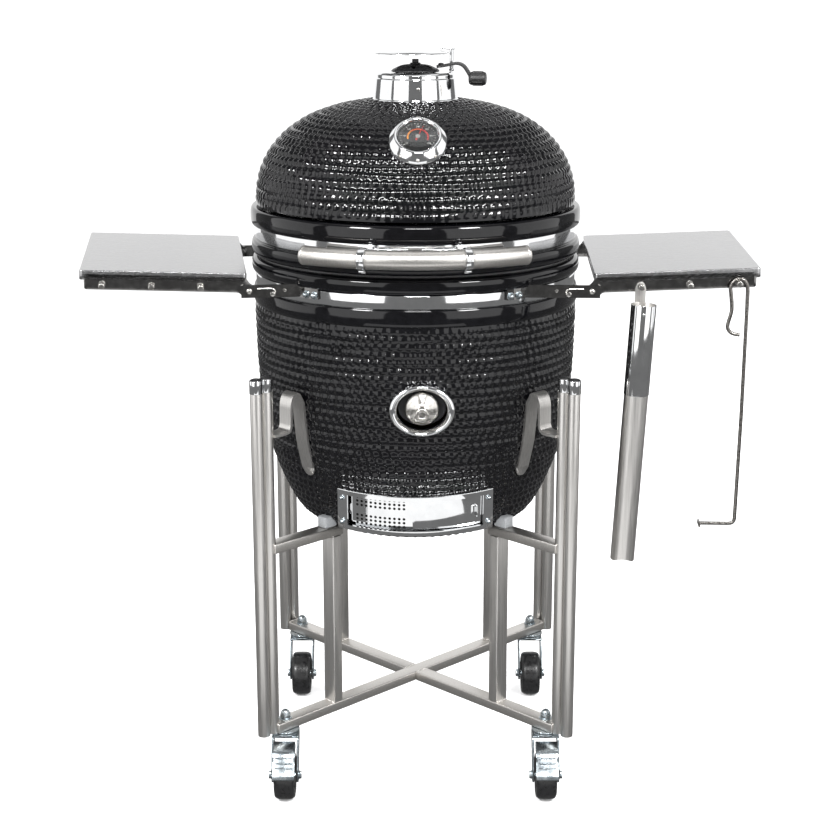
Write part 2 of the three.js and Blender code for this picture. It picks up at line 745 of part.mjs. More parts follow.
// ---- Cart ----
const corners = [
  { name: 'front_left', x: -1, y: -1 },
  { name: 'front_right', x: 1, y: -1 },
  { name: 'rear_left', x: -1, y: 1 },
  { name: 'rear_right', x: 1, y: 1 },
];
const tubeRadius = tubeDiameter / 2;
const barEnd = legReach - 0.75 * tubeRadius; // bars stop at the leg tubes

// Centres of the two tubes of a leg; the outer tube is set towards the front.
function legTubes(corner) {
  const offset = tubeRadius * Math.SQRT1_2;
  return [-1, 1].map((way) => [
    corner.x * (legReach - way * offset),
    corner.y * legReach + way * offset,
  ]);
}

function leg(corner) {
  const height = legTop - legBottom;
  const middle = (legTop + legBottom) / 2;
  const tubes = legTubes(corner).map(([x, y]) => rod('z', tubeRadius, height, [x, y, middle], 16));
  return piece(`leg_${corner.name}`, join(...tubes, legWeld(corner, 0, height, middle)), steel);
}

function legWeld(corner, grow, height, middle) {
  const centre = [corner.x * legReach, corner.y * legReach, middle];
  return box([6 + grow, 7 + grow, height], centre, [0, 0, corner.x * -45]);
}

function legClearance(corner) {
  const tubes = legTubes(corner).map(([x, y]) => rod('z', tubeRadius + gap, 2000, [x, y, 0], 16));
  return [...tubes, legWeld(corner, 2 * gap, 2000, 0)];
}

// A bar along the diagonal, from one distance to another (measured along X).
function diagonalBar(corner, from, to, top) {
  const length = (to - from) * Math.SQRT2;
  const middle = (from + to) / 2;
  const turn = 45 * corner.x * corner.y;
  const at = [corner.x * middle, corner.y * middle, top - barHeight / 2];
  return box([length, barWidth, barHeight], at, [0, 0, turn]);
}

function lowerCross() {
  let cross = join(...corners.map((corner) => diagonalBar(corner, -6, barEnd, lowerBarTop)));
  corners.forEach((corner) => {
    const bore = rod('z', stemRadius + gap, 80, [corner.x * stemReach, corner.y * stemReach, lowerBarTop]);
    cross = cut(cross, bore, ...legClearance(corner));
  });
  return piece('lower_cross', cross, steel);
}

// Upper bar and upright of one corner, with the pad that carries the bowl.
function cradle(corner) {
  const bar = cut(diagonalBar(corner, cradleInner, barEnd, upperBarTop), ...legClearance(corner));
  const height = upperBarTop - barHeight - lowerBarTop;
  const turn = 45 * corner.x * corner.y;
  const upright = box([uprightDepth, barWidth, height], [
    corner.x * uprightReach, corner.y * uprightReach, lowerBarTop + gap + height / 2,
  ], [0, 0, turn]);
  const reach = padRadius * Math.SQRT1_2;
  const centre = (height) => [corner.x * reach, corner.y * reach, height];
  const above = (size, low) => box(size, centre(low + size[2] / 2), [0, 0, turn]);
  const pad = cut(above([26, 20, 60], upperBarTop - 1), bowlEnvelope(gap));
  const limit = above([120, 120, 60], padTop);
  return piece(`cradle_${corner.name}`, join(bar, upright, cut(pad, limit)), steel);
}

const cradleInner = uprightReach - 10;
const upperBarTop = rimHeight + heightAt(bowlProfile, cradleInner * Math.SQRT2) - cradleClearance;
const padTop = rimHeight + heightAt(bowlProfile, padRadius) + 10;

// Hairpin strap that steadies the bowl, in the vertical plane of the corner's diagonal.
function strap(corner) {
  const underside = rimHeight - bowlDepth;
  const strapTop = underside + strapRise;
  const strapTabHeight = underside + strapTabRise;
  const strapFoot = underside + strapFootRise;
  const touch = (height) => radiusAt(atRim(baseOutline), height) + strapThickness / 2 + 1;
  const legFace = legReach * Math.SQRT2 - 2.2 * tubeRadius;
  const outer = touch(strapTop - 20) + 26;
  const line = [
    [legFace, strapTabHeight], [outer + 5, strapTabHeight], [outer, strapTabHeight + 5],
    [outer, strapTop - 14], [outer - 5, strapTop - 3], [outer - 13, strapTop],
    [outer - 21, strapTop - 4], [touch(strapTop - 20), strapTop - 18],
    [touch(strapTop - 60), strapTop - 60], [touch(strapFoot + 30), strapFoot + 30],
    [touch(strapFoot), strapFoot],
  ];
  const holder = group([0, 0, 0], [0, 0, THREE.MathUtils.radToDeg(Math.atan2(corner.y, corner.x))]);
  const half = strapWidth / 2;
  holder.add(piece(`strap_${corner.name}`, plate('xz', bentBar(line, strapThickness), -half, half), steel));
  return holder;
}

// ---- Casters: fork with stem and axle, wheel, and a brake pedal on the front pair ----
function caster(corner) {
  const holder = group([corner.x * stemReach, corner.y * stemReach, 0]);
  const top = casterPlateTop;
  const crown = top - 9;
  const inside = wheelWidth / 2 + 2;
  const cheek = [
    [-casterTrail - 9, wheelRadius - 9], [-casterTrail + 9, wheelRadius - 9], [17, crown - 3], [17, crown],
    [-17, crown], [-casterTrail - 11, wheelRadius + 14],
  ];
  const cheeks = [-inside - forkPlate, inside].map((low) => plate('yz', cheek, low, low + forkPlate));
  const plateDisc = rod('z', casterPlateRadius, 6, [0, 0, top - 3], 20);
  const crownPlate = box([2 * (inside + forkPlate), 34, 4], [0, 0, crown - 1]);
  const hub = rod('z', 12, 6, [0, 0, top - 7], 12);
  const stem = rod('z', stemRadius, 2 * barHeight, [0, 0, top + barHeight - 1], 12);
  const nut = rod('z', 9, 9, [0, 0, lowerBarTop + gap + 4.5], 6);
  const axle = rod('x', axleRadius, 2 * (inside + forkPlate + 4), [0, -casterTrail, wheelRadius], 12);
  const fork = join(plateDisc, hub, crownPlate, ...cheeks, stem, nut, axle);
  holder.add(piece(`caster_fork_${corner.name}`, fork, zinc));
  const bore = axleRadius + gap;
  const half = wheelWidth / 2;
  const wheel = turned([
    [bore, -half + 3], [wheelRadius - 12, -half + 3], [wheelRadius - 9, -half], [wheelRadius - 4, -half],
    [wheelRadius, -half + 5], [wheelRadius, half - 5], [wheelRadius - 4, half], [wheelRadius - 9, half],
    [wheelRadius - 12, half - 3], [bore, half - 3], [bore, -half + 3],
  ], 24);
  const tire = piece(`caster_wheel_${corner.name}`, wheel, rubber);
  tire.position.set(0, -casterTrail, wheelRadius);
  tire.rotation.set(0, Math.PI / 2, 0);
  holder.add(tire);
  if (corner.y < 0) holder.add(brakePedal(corner, crown));
  return holder;
}

// The pedal bends over the wheel, so its line is given round the wheel's centre.
function brakePedal(corner, crown) {
  const width = wheelWidth + 2;
  const round = ([degrees, clear]) => [
    -casterTrail - (wheelRadius + clear) * Math.sin(radians(degrees)),
    wheelRadius + (wheelRadius + clear) * Math.cos(radians(degrees)),
  ];
  const line = [[-24, crown - 5], round([23, 13.8]), round([67, 4.2]), round([75, 8.4])];
  return piece(`brake_pedal_${corner.name}`, plate('yz', bentBar(line, 3), -width / 2, width / 2), zinc);
}

// ---- Shelves, built about the pivot line with +x outward for the right one ----
const frontRail = -shelfDepth / 2;

function shelf(name, side, yaw) {
  const holder = group([side * pivotReach, -pivotForward, pivotHeight], [0, 0, yaw]);
  const half = shelfDepth / 2;
  const near = 3;
  const middle = side * (near + shelfWidth / 2);
  const lean = [0, -side * shelfTilt, 0];
  const lift = Math.tan(radians(shelfTilt)) * (near + shelfWidth / 2);
  const height = trayRise + lift;
  const outside = box([shelfWidth, shelfDepth, trayLip], [middle, 0, height - trayLip / 2], lean);
  const hollow = [shelfWidth - 2 * sheet, shelfDepth - 2 * sheet, trayLip];
  const inside = box(hollow, [middle, 0, height - trayLip / 2 - sheet], lean);
  const rise = Math.tan(radians(shelfTilt));
  const far = near + shelfWidth - 6;
  const line = [
    [-9, -9], [9, -9], [15, -2], [far, -2 + rise * far], [far, trayRise - 5 + rise * far],
    [near + 3, trayRise - 5], [-3, 9], [-9, 9],
  ].map(([x, z]) => [side * x, z]);
  const ordered = side > 0 ? line : [...line].reverse();
  const rails = [-half, half - railThickness].map((low) => (
    plate('xz', ordered, low, low + railThickness, [[0, 0, pegRadius + gap]])
  ));
  const parts = [cut(outside, inside), ...rails];
  for (let i = 1; i <= pegCount; i += 1) {
    const at = [side * i * pegPitch, frontRail - pegLength / 2 + 1, 6 + rise * i * pegPitch];
    parts.push(rod('y', pegRadius, pegLength, at, 10));
    parts.push(rod('y', pegRadius + 1.5, 2.5, [at[0], frontRail - pegLength + 2, at[2]], 10));
  }
  holder.add(piece(name, join(...parts), steel));
  return holder;
}

// Arm from the base band out to the shelf pivot; the pad lies along the band.
function shelfBracket(name, side, yaw, way) {
  const holder = group([side * pivotReach, -pivotForward, pivotHeight], [0, 0, yaw]);
  const line = way * (shelfDepth / 2 + gap + 1.5);
  holder.updateMatrix();
  const toLocal = holder.matrix.clone().invert();
  const seat = bandOuterRadius + gap + 1.6;
  const worldLine = (x) => new THREE.Vector3(x, line, 0).applyMatrix4(holder.matrix);
  let meet = 0;
  const fromAxis = (x) => Math.hypot(worldLine(x).x, worldLine(x).y);
  while (fromAxis(-side * meet) > seat && meet < 200) meet += 0.5;
  const contact = worldLine(-side * meet);
  const angle = Math.atan2(contact.y, contact.x);
  const along = [0.05, 0.1, 0.15].map((turn) => {
    const a = angle + side * way * turn;
    const point = new THREE.Vector3(seat * Math.cos(a), seat * Math.sin(a), 0).applyMatrix4(toLocal);
    return [point.x, point.y];
  });
  const start = [-side * meet, line];
  const outline = bentBar([...along.reverse(), start, [side * 12, line]], 3);
  const low = -9.5;
  const arm = cut(plate('xy', outline, low, low + 19), rod('y', pegRadius + gap, 20, [0, line, 0], 12));
  const reach = bandOuterRadius + gap;
  const bandClear = new THREE.CylinderGeometry(reach, reach, 80, roundSteps).rotateX(Math.PI / 2);
  const trim = [solid(bandClear.applyMatrix4(toLocal)), bowlEnvelope(gap, toLocal)];
  holder.add(piece(name, cut(arm, ...trim), steel));
  return holder;
}

// ---- Tools that hang from the right shelf's pegs ----
function pegFrame(side, yaw, index, lean) {
  const rise = Math.tan(radians(shelfTilt));
  const holder = group([side * pivotReach, -pivotForward, pivotHeight], [0, 0, yaw]);
  const at = group([side * index * pegPitch, frontRail, 6 + rise * index * pegPitch], [0, lean, 0]);
  holder.add(at);
  return { holder, at };
}

function scoop() {
  const { holder, at } = pegFrame(1, rightShelfYaw, 1, scoopLean);
  const tabAt = -3.5;
  const axis = [5, tabAt - scoopRadius + 1.5];
  const top = -24;
  const bottom = top - scoopLength;
  const middle = (top + bottom) / 2;
  const tube = cut(
    rod('z', scoopRadius, scoopLength, [...axis, middle], 24),
    rod('z', scoopRadius - scoopWall, scoopLength + 10, [...axis, middle], 24),
    box([60, 60, scoopLength], [axis[0], axis[1] - 28, top - scoopHandleLength - scoopLength / 2]),
  );
  const outline = [[-8, -4], [-5, 4], [0, 7], [5, 4], [8, -4], [8, -44], [-6, -44]].reverse();
  const tab = plate('xz', outline, tabAt - 1, tabAt + 1, [[0, -1.2, pegRadius + 1.8]]);
  at.add(piece('wood_chip_scoop', join(tube, tab), steel));
  return holder;
}

function rake() {
  const { holder, at } = pegFrame(1, rightShelfYaw, pegCount, 0);
  const crest = pegRadius + rodRadius + gap;
  const hook = [
    [4, -77], [-8, -74], [-14, -64], [-9, -40], [-11, -16], [-12, -6], [-7, crest - 3], [0, crest],
    [8, crest - 2.5], [12.5, -6], [13, -24], [13, -40],
  ].map(([x, z]) => [x, -8, z]);
  const shaft = [[13, -8, -36], [12, -8, -200], [9, -8, -362], [2, -8, -367.5], [-44, -8, -367.5]];
  const struts = shaft.slice(1).map((to, i) => strut(shaft[i], to, rodRadius));
  at.add(piece('ash_rake', join(bentRod(hook, rodRadius, 30, 6), ...struts), blackSteel));
  return holder;
}

// ---- Assembly ----
const grill = new THREE.Group();
grill.name = 'kamado_grill';

const lidBand = band('lid_band', 1);
const baseBand = band('base_band', -1);
grill.add(
  baseShell(),
  piece('lid_shell', cut(lidShell(), gaugePocket()), glaze),
  gasket('base_gasket', -1),
  gasket('lid_gasket', 1),
  piece(lidBand.name, lidBand.body, chrome),
  piece(baseBand.name, baseBand.body, chrome),
  chimney(),
  ventDome(),
  ventLever(),
  rainLid(),
  thermometer(),
  handle(),
  handleBracket('handle_bracket_left', -1),
  handleBracket('handle_bracket_right', 1),
  hingeLeaf('hinge_base_leaf', -1, hingeEarSpacing),
  hingeLeaf('hinge_lid_leaf', 1, hingeEarSpacing - 4 * hingeEarThickness),
  hingePin(),
  ...port(),
  draftDoor(),
  ...fireParts(),
  ...corners.map(leg),
  lowerCross(),
  ...corners.map(cradle),
  ...corners.map(strap),
  ...corners.map(caster),
  shelf('shelf_left', -1, leftShelfYaw),
  shelf('shelf_right', 1, rightShelfYaw),
  shelfBracket('shelf_bracket_left_front', -1, leftShelfYaw, -1),
  shelfBracket('shelf_bracket_left_rear', -1, leftShelfYaw, 1),
  shelfBracket('shelf_bracket_right_front', 1, rightShelfYaw, -1),
  shelfBracket('shelf_bracket_right_rear', 1, rightShelfYaw, 1),
  scoop(),
  rake(),
);

// Everything is built about the body's axis, then set over the middle of the overall box.
const span = new THREE.Box3().setFromObject(grill, true);
grill.position.set(-(span.min.x + span.max.x) / 2, -(span.min.y + span.max.y) / 2, -span.min.z);
grill.updateMatrixWorld(true);

export default grill;
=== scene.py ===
import bpy, bmesh, json, math
from mathutils import Matrix, Vector


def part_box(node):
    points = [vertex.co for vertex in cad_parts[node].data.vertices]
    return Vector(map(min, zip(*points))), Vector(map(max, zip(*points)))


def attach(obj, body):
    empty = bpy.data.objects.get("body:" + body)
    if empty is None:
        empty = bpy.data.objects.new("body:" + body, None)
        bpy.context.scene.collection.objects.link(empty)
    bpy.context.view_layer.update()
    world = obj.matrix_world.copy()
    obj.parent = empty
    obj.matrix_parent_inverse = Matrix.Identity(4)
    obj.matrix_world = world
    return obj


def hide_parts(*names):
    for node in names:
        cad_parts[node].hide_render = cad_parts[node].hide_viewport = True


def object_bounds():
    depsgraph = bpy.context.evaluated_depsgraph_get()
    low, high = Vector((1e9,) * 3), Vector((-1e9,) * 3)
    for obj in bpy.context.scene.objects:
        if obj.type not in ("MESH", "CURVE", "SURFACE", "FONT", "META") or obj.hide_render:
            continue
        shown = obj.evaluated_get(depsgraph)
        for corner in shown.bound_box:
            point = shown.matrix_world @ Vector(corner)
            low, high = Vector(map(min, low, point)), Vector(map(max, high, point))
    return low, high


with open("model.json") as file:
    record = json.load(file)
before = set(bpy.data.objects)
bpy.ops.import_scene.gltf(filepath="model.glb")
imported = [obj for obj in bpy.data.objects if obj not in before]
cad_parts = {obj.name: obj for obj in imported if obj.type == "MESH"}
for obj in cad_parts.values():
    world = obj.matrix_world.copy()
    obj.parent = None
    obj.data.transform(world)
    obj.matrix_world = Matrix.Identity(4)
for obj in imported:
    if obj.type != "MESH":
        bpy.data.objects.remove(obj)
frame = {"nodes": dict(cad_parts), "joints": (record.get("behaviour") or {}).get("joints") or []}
cadLow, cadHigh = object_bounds()
joints = {joint["name"]: joint for joint in frame["joints"]}
corners = {"front_left": (-1, -1), "front_right": (1, -1), "rear_left": (-1, 1), "rear_right": (1, 1)}
mm = 0.001

# Every piece is drawn in millimetres in its own part's frame, then set in place by one of these frames.


def frameAt(origin, up=(0, 0, 1), right=(1, 0, 0)):
    z = Vector(up).normalized()
    y = z.cross(Vector(right)).normalized()
    turn = Matrix((y.cross(z), y, z)).transposed().to_4x4()
    return Matrix.Translation(origin) @ turn @ Matrix.Scale(mm, 4)


def turned(degrees, axis="Z"):
    return Matrix.Rotation(math.radians(degrees), 4, axis)


def moved(x, y, z):
    return Matrix.Translation((x, y, z))


def spanOf(node):
    low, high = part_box(node)
    return (low / mm, high / mm)


shellLow, shellHigh = spanOf("base_shell")
axisX, axisY = (shellLow.x + shellHigh.x) / 2, (shellLow.y + shellHigh.y) / 2
bodyFrame = frameAt((axisX * mm, axisY * mm, 0))
jointZ = (spanOf("base_gasket")[1].z + spanOf("lid_gasket")[0].z) / 2
rimRadius = (shellHigh.x - shellLow.x) / 2


# ---- mesh helpers ----

def rounded(points, radius, steps=4, closed=False):
    made = []
    count = len(points)
    for i, point in enumerate(points):
        corner = Vector(point)
        if not closed and i in (0, count - 1):
            made.append(corner)
            continue
        before, after = Vector(points[i - 1]), Vector(points[(i + 1) % count])
        inLength, outLength = (before - corner).length, (after - corner).length
        start = corner.lerp(before, min(0.48, radius / inLength))
        end = corner.lerp(after, min(0.48, radius / outLength))
        for k in range(steps + 1):
            t = k / steps
            made.append(start * (1 - t) ** 2 + corner * 2 * t * (1 - t) + end * t * t)
    return made


def smoothLine(points, perSpan=12):
    # a Catmull-Rom curve through the points
    stops = [Vector(p) for p in points]
    stops = [2 * stops[0] - stops[1]] + stops + [2 * stops[-1] - stops[-2]]
    made = []
    for i in range(1, len(stops) - 2):
        a, b, c, d = stops[i - 1:i + 3]
        for k in range(perSpan):
            t = k / perSpan
            made.append(0.5 * (2 * b + (c - a) * t + (2 * a - 5 * b + 4 * c - d) * t * t
                               + (3 * b - a - 3 * c + d) * t ** 3))
    return made + [stops[-2]]


def evenly(line, spacing):
    # the same line with its points an even distance apart
    lengths = [0]
    for a, b in zip(line, line[1:]):
        lengths.append(lengths[-1] + (b - a).length)
    count = max(2, round(lengths[-1] / spacing))
    made, span = [], 0
    for k in range(count + 1):
        reach = lengths[-1] * k / count
        while span < len(line) - 2 and lengths[span + 1] < reach:
            span += 1
        part = (reach - lengths[span]) / max(lengths[span + 1] - lengths[span], 1e-9)
        made.append(line[span].lerp(line[span + 1], part))
    return made


def put(bm, part, matrix=Matrix(), keepNormals=False):
    if not keepNormals:
        bmesh.ops.remove_doubles(part, verts=part.verts, dist=1e-4)
        bmesh.ops.recalc_face_normals(part, faces=part.faces)
    part.transform(matrix)
    if matrix.determinant() < 0:
        bmesh.ops.reverse_faces(part, faces=part.faces)
    mesh = bpy.data.meshes.new("part")
    part.to_mesh(mesh)
    part.free()
    bm.from_mesh(mesh)
    bpy.data.meshes.remove(mesh)


def spunPart(profile, steps=96, closed=False):
    # profile points are (radius, height)
    part = bmesh.new()
    verts = [part.verts.new((r, 0, z)) for r, z in profile]
    edges = [part.edges.new(pair) for pair in zip(verts, verts[1:])]
    if closed:
        edges.append(part.edges.new((verts[-1], verts[0])))
    bmesh.ops.spin(part, geom=verts + edges, cent=(0, 0, 0), axis=(0, 0, 1), angle=math.tau,
                   steps=steps, use_merge=True)
    bmesh.ops.remove_doubles(part, verts=part.verts, dist=1e-4)
    return part


def rodPart(radius, length, edge=0.5, inner=0, steps=40):
    half = length / 2
    if inner:
        loop = [(inner, -half), (radius, -half), (radius, half), (inner, half)]
        return spunPart(rounded(loop, edge, 3, closed=True), steps, closed=True)
    side = rounded([(0, -half), (radius, -half), (radius, half), (0, half)], edge, 3)
    return spunPart(side, steps)


def boxPart(size, edge=0.8, segments=2):
    part = bmesh.new()
    bmesh.ops.create_cube(part, size=1)
    bmesh.ops.scale(part, vec=size, verts=part.verts)
    if edge:
        bmesh.ops.bevel(part, geom=part.edges[:], offset=edge, segments=segments, affect="EDGES",
                        profile=0.5, material=-1)
    return part


def platePart(outline, low, high, edge=0.3):
    # an outline in X and Y, thick along Z
    part = bmesh.new()
    face = part.faces.new([part.verts.new((p[0], p[1], low)) for p in outline])
    raised = bmesh.ops.extrude_face_region(part, geom=[face])
    top = [v for v in raised["geom"] if isinstance(v, bmesh.types.BMVert)]
    bmesh.ops.translate(part, vec=(0, 0, high - low), verts=top)
    bmesh.ops.recalc_face_normals(part, faces=part.faces)
    if edge:
        rims = [e for e in part.edges if abs(e.verts[0].co.z - e.verts[1].co.z) < 1e-6]
        bmesh.ops.bevel(part, geom=rims, offset=edge, segments=2, affect="EDGES", profile=0.5, material=-1)
    bmesh.ops.triangulate(part, faces=[f for f in part.faces if len(f.verts) > 4])
    return part


def barOutline(line, thickness):
    # the edge of a flat bar that follows a line of 2D points
    sides = ([], [])
    for i, point in enumerate(line):
        before, after = line[max(i - 1, 0)], line[min(i + 1, len(line) - 1)]
        along = (Vector(after) - Vector(before)).normalized()
        across = Vector((-along.y, along.x)) * thickness / 2
        sides[0].append(Vector(point) + across)
        sides[1].append(Vector(point) - across)
    return sides[0] + sides[1][::-1]


def wirePart(points, radius, sides=3, closed=False):
    # a round wire through 3D points; sides is the bevel resolution
    curve = bpy.data.curves.new("wire", "CURVE")
    curve.dimensions = "3D"
    curve.bevel_depth = radius
    curve.bevel_resolution = sides
    curve.use_fill_caps = not closed
    spline = curve.splines.new("POLY")
    spline.points.add(len(points) - 1)
    for stop, point in zip(spline.points, points):
        stop.co = (*point, 1)
    spline.use_cyclic_u = closed
    holder = bpy.data.objects.new("wire", curve)
    bpy.context.scene.collection.objects.link(holder)
    part = bmesh.new()
    mesh = bpy.data.meshes.new_from_object(holder.evaluated_get(bpy.context.evaluated_depsgraph_get()))
    part.from_mesh(mesh)
    bpy.data.objects.remove(holder)
    bpy.data.curves.remove(curve)
    bpy.data.meshes.remove(mesh)
    return part


def hexPart(acrossFlats, height, dome=False):
    # a hexagon head with its corners turned off, or a cap nut with a dome
    part = bmesh.new()
    radius = acrossFlats / math.sqrt(3)
    bmesh.ops.create_cone(part, cap_ends=True, segments=6, radius1=radius, radius2=radius, depth=height)
    bmesh.ops.bevel(part, geom=part.edges[:], offset=height * 0.1, segments=2, affect="EDGES",
                    profile=0.5, material=-1)
    if dome:
        cap = [(acrossFlats * 0.46 * math.cos(a), acrossFlats * 0.5 * math.sin(a))
               for a in [math.pi / 2 * k / 8 for k in range(9)]]
        put(part, spunPart([(0, 0)] + cap, 24), moved(0, 0, height / 2 - 0.5))
    return part


def asObject(part):
    mesh = bpy.data.meshes.new("solid")
    part.to_mesh(mesh)
    part.free()
    holder = bpy.data.objects.new("solid", mesh)
    bpy.context.scene.collection.objects.link(holder)
    return holder


def carved(part, cutter, solver="MANIFOLD"):
    # part with cutter taken away; both are closed
    for solid in (part, cutter):
        bmesh.ops.remove_doubles(solid, verts=solid.verts, dist=1e-4)
        bmesh.ops.recalc_face_normals(solid, faces=solid.faces)
    holder, tool = asObject(part), asObject(cutter)
    cut = holder.modifiers.new("cut", "BOOLEAN")
    cut.operation, cut.solver, cut.object = "DIFFERENCE", solver, tool
    mesh = bpy.data.meshes.new_from_object(holder.evaluated_get(bpy.context.evaluated_depsgraph_get()))
    made = bmesh.new()
    made.from_mesh(mesh)
    for thing in (holder, tool):
        data = thing.data
        bpy.data.objects.remove(thing)
        bpy.data.meshes.remove(data)
    bpy.data.meshes.remove(mesh)
    return made


def finishPiece(name, bm, finish, body, place=bodyFrame, replaces=(), sharp=40):
    bm.transform(place)
    mesh = bpy.data.meshes.new(name)
    bm.to_mesh(mesh)
    bm.free()
    mesh.polygons.foreach_set("use_smooth", [True] * len(mesh.polygons))
    mesh.set_sharp_from_angle(angle=math.radians(sharp))
    mesh.materials.append(finishes[finish])
    piece = bpy.data.objects.new(name, mesh)
    bpy.context.scene.collection.objects.link(piece)
    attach(piece, body)
    if replaces:
        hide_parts(*replaces)
    return piece


# ---- finishes ----

def linear(hexCode):
    parts = [int(hexCode[i:i + 2], 16) / 255 for i in (0, 2, 4)]
    return tuple(c / 12.92 if c <= 0.04045 else ((c + 0.055) / 1.055) ** 2.4 for c in parts) + (1.0,)


def addNode(tree, kind, settings, links):
    made = tree.nodes.new(kind)
    for key, value in settings.items():
        if key == "stops":
            ramp = made.color_ramp
            ramp.elements[0].position, ramp.elements[0].color = value[0]
            ramp.elements[1].position, ramp.elements[1].color = value[-1]
            for position, colour in value[1:-1]:
                ramp.elements.new(position).color = colour
        elif isinstance(key, int) or key in made.inputs:
            made.inputs[key].default_value = value
        else:
            setattr(made, key, value)
    for key, socket in links.items():
        tree.links.new(socket, made.inputs[key])
    return made


def grey(value):
    return (value, value, value, 1)


finishes = {}


def newFinish(name, look):
    made = bpy.data.materials.new(name)
    made.use_nodes = True
    tree = made.node_tree
    shader = tree.nodes["Principled BSDF"]
    for key, value in look.items():
        shader.inputs[key].default_value = value
    finishes[name] = made
    place = addNode(tree, "ShaderNodeTexCoord", {}, {}).outputs["Object"]
    return tree, shader, place


def varied(tree, shader, place, colours, roughness, size, stretch=(1, 1, 1), bump=0, depth=0.0002, detail=4):
    # colour and roughness drift with a noise whose grain is size metres, drawn out by stretch;
    # bump follows the same noise
    scaled = addNode(tree, "ShaderNodeMapping", {"Scale": stretch}, {"Vector": place}).outputs[0]
    noise = addNode(tree, "ShaderNodeTexNoise", {"Scale": 1 / size, "Detail": detail, "Roughness": 0.6},
                    {"Vector": scaled}).outputs["Fac"]
    tint = addNode(tree, "ShaderNodeValToRGB", {"stops": [(0.3, colours[0]), (0.7, colours[1])]}, {0: noise})
    gloss = addNode(tree, "ShaderNodeMapRange", {"From Min": 0.3, "From Max": 0.7, "To Min": roughness[0],
                                                 "To Max": roughness[1]}, {0: noise})
    tree.links.new(tint.outputs[0], shader.inputs["Base Color"])
    tree.links.new(gloss.outputs[0], shader.inputs["Roughness"])
    if bump:
        raised = addNode(tree, "ShaderNodeBump", {"Strength": bump, "Distance": depth}, {"Height": noise})
        tree.links.new(raised.outputs[0], shader.inputs["Normal"])
    return noise


# Black glaze over fired clay, dipped and fired: deep and wet looking, with a slight orange peel.
tree, shader, place = newFinish("blackGlaze", {"IOR": 1.5, "Specular IOR Level": 0.4})
varied(tree, shader, place, (linear("030304"), linear("08080a")), (0.04, 0.08), 0.012, bump=0.12,
       depth=0.0002)

# Mirror polished stainless, buffed: near-perfect reflection with faint buffing haze.
tree, shader, place = newFinish("mirrorSteel", {"Metallic": 1.0})
varied(tree, shader, place, (linear("d9dadb"), linear("e6e7e8")), (0.04, 0.09), 0.03, bump=0.03)

# Drawn stainless tube, brushed along its length: soft vertical streaks.
tree, shader, place = newFinish("brushedTube", {"Metallic": 1.0})
varied(tree, shader, place, (linear("c6c4c1"), linear("dcdad7")), (0.3, 0.42), 0.0016, (1, 1, 0.02), bump=0.1)

# Brushed stainless bar and strip, grained from left to right.
tree, shader, place = newFinish("brushedBar", {"Metallic": 1.0})
varied(tree, shader, place, (linear("c2bfbb"), linear("d6d3cf")), (0.3, 0.42), 0.002, (1, 1, 1), bump=0.06)

# Satin stainless sheet for the trays, linished one way: pale, with fine lines from side to side.
tree, shader, place = newFinish("satinSheet", {"Metallic": 1.0})
varied(tree, shader, place, (linear("9a9a9b"), linear("aaaaab")), (0.2, 0.3), 0.0014, (0.02, 1, 1), bump=0.06)

# Bright zinc plate over pressed steel: bluish, blotchy where the bath was uneven.
tree, shader, place = newFinish("zincPlate", {"Metallic": 1.0})
varied(tree, shader, place, (linear("9aa3a9"), linear("b4bbbe")), (0.2, 0.32), 0.02, bump=0.05)

# Black oxide and enamel on pressed steel: dull black with a soft sheen.
tree, shader, place = newFinish("blackEnamel", {"Metallic": 0.3, "IOR": 1.5})
varied(tree, shader, place, (linear("111112"), linear("1e1e20")), (0.3, 0.46), 0.004, bump=0.15)

# Moulded black nylon: fine spark-eroded texture.
tree, shader, place = newFinish("mouldedNylon", {"IOR": 1.53})
varied(tree, shader, place, (linear("0f0f10"), linear("19191a")), (0.36, 0.52), 0.0008, bump=0.2)

# Black polyurethane wheel tread: smooth and slightly shiny, with scuffed patches.
tree, shader, place = newFinish("wheelTread", {"IOR": 1.5})
varied(tree, shader, place, (linear("0c0c0d"), linear("1a1a1b")), (0.22, 0.42), 0.006, bump=0.1)

# Cast fireclay: pale buff, open grain.
tree, shader, place = newFinish("fireclay", {"IOR": 1.45})
varied(tree, shader, place, (linear("9c8468"), linear("c4ad8f")), (0.85, 0.95), 0.004, bump=0.6, depth=0.0006)

# Woven felt gasket: dark, fibrous.
tree, shader, place = newFinish("gasketFelt", {"IOR": 1.4, "Sheen Weight": 0.4})
varied(tree, shader, place, (linear("1b1b1c"), linear("353536")), (0.9, 1.0), 0.0012, (1, 1, 4), bump=0.8)

# Cast iron: rough sand-cast skin.
tree, shader, place = newFinish("castIron", {"Metallic": 0.7})
varied(tree, shader, place, (linear("1c1b1a"), linear("343230")), (0.55, 0.75), 0.002, bump=0.7, depth=0.0004)

# Polished stainless wire of the cooking grate.
tree, shader, place = newFinish("grateWire", {"Metallic": 1.0})
varied(tree, shader, place, (linear("b4b2ae"), linear("cfcdca")), (0.14, 0.26), 0.003, bump=0.08)

# Black lacquer dial.
tree, shader, place = newFinish("dialLacquer", {"IOR": 1.5})
varied(tree, shader, place, (linear("0b0b0c"), linear("141416")), (0.35, 0.45), 0.002)

# Screen-printed inks on the dial, one for each heat zone.
for inkName, inkColour in (("inkWhite", "e8e6e2"), ("inkAmber", "e08a1e"), ("inkOrange", "d9551a"),
                           ("inkRed", "c4201a")):
    tree, shader, place = newFinish(inkName, {"IOR": 1.48})
    varied(tree, shader, place, (linear(inkColour), linear(inkColour)), (0.4, 0.5), 0.001)

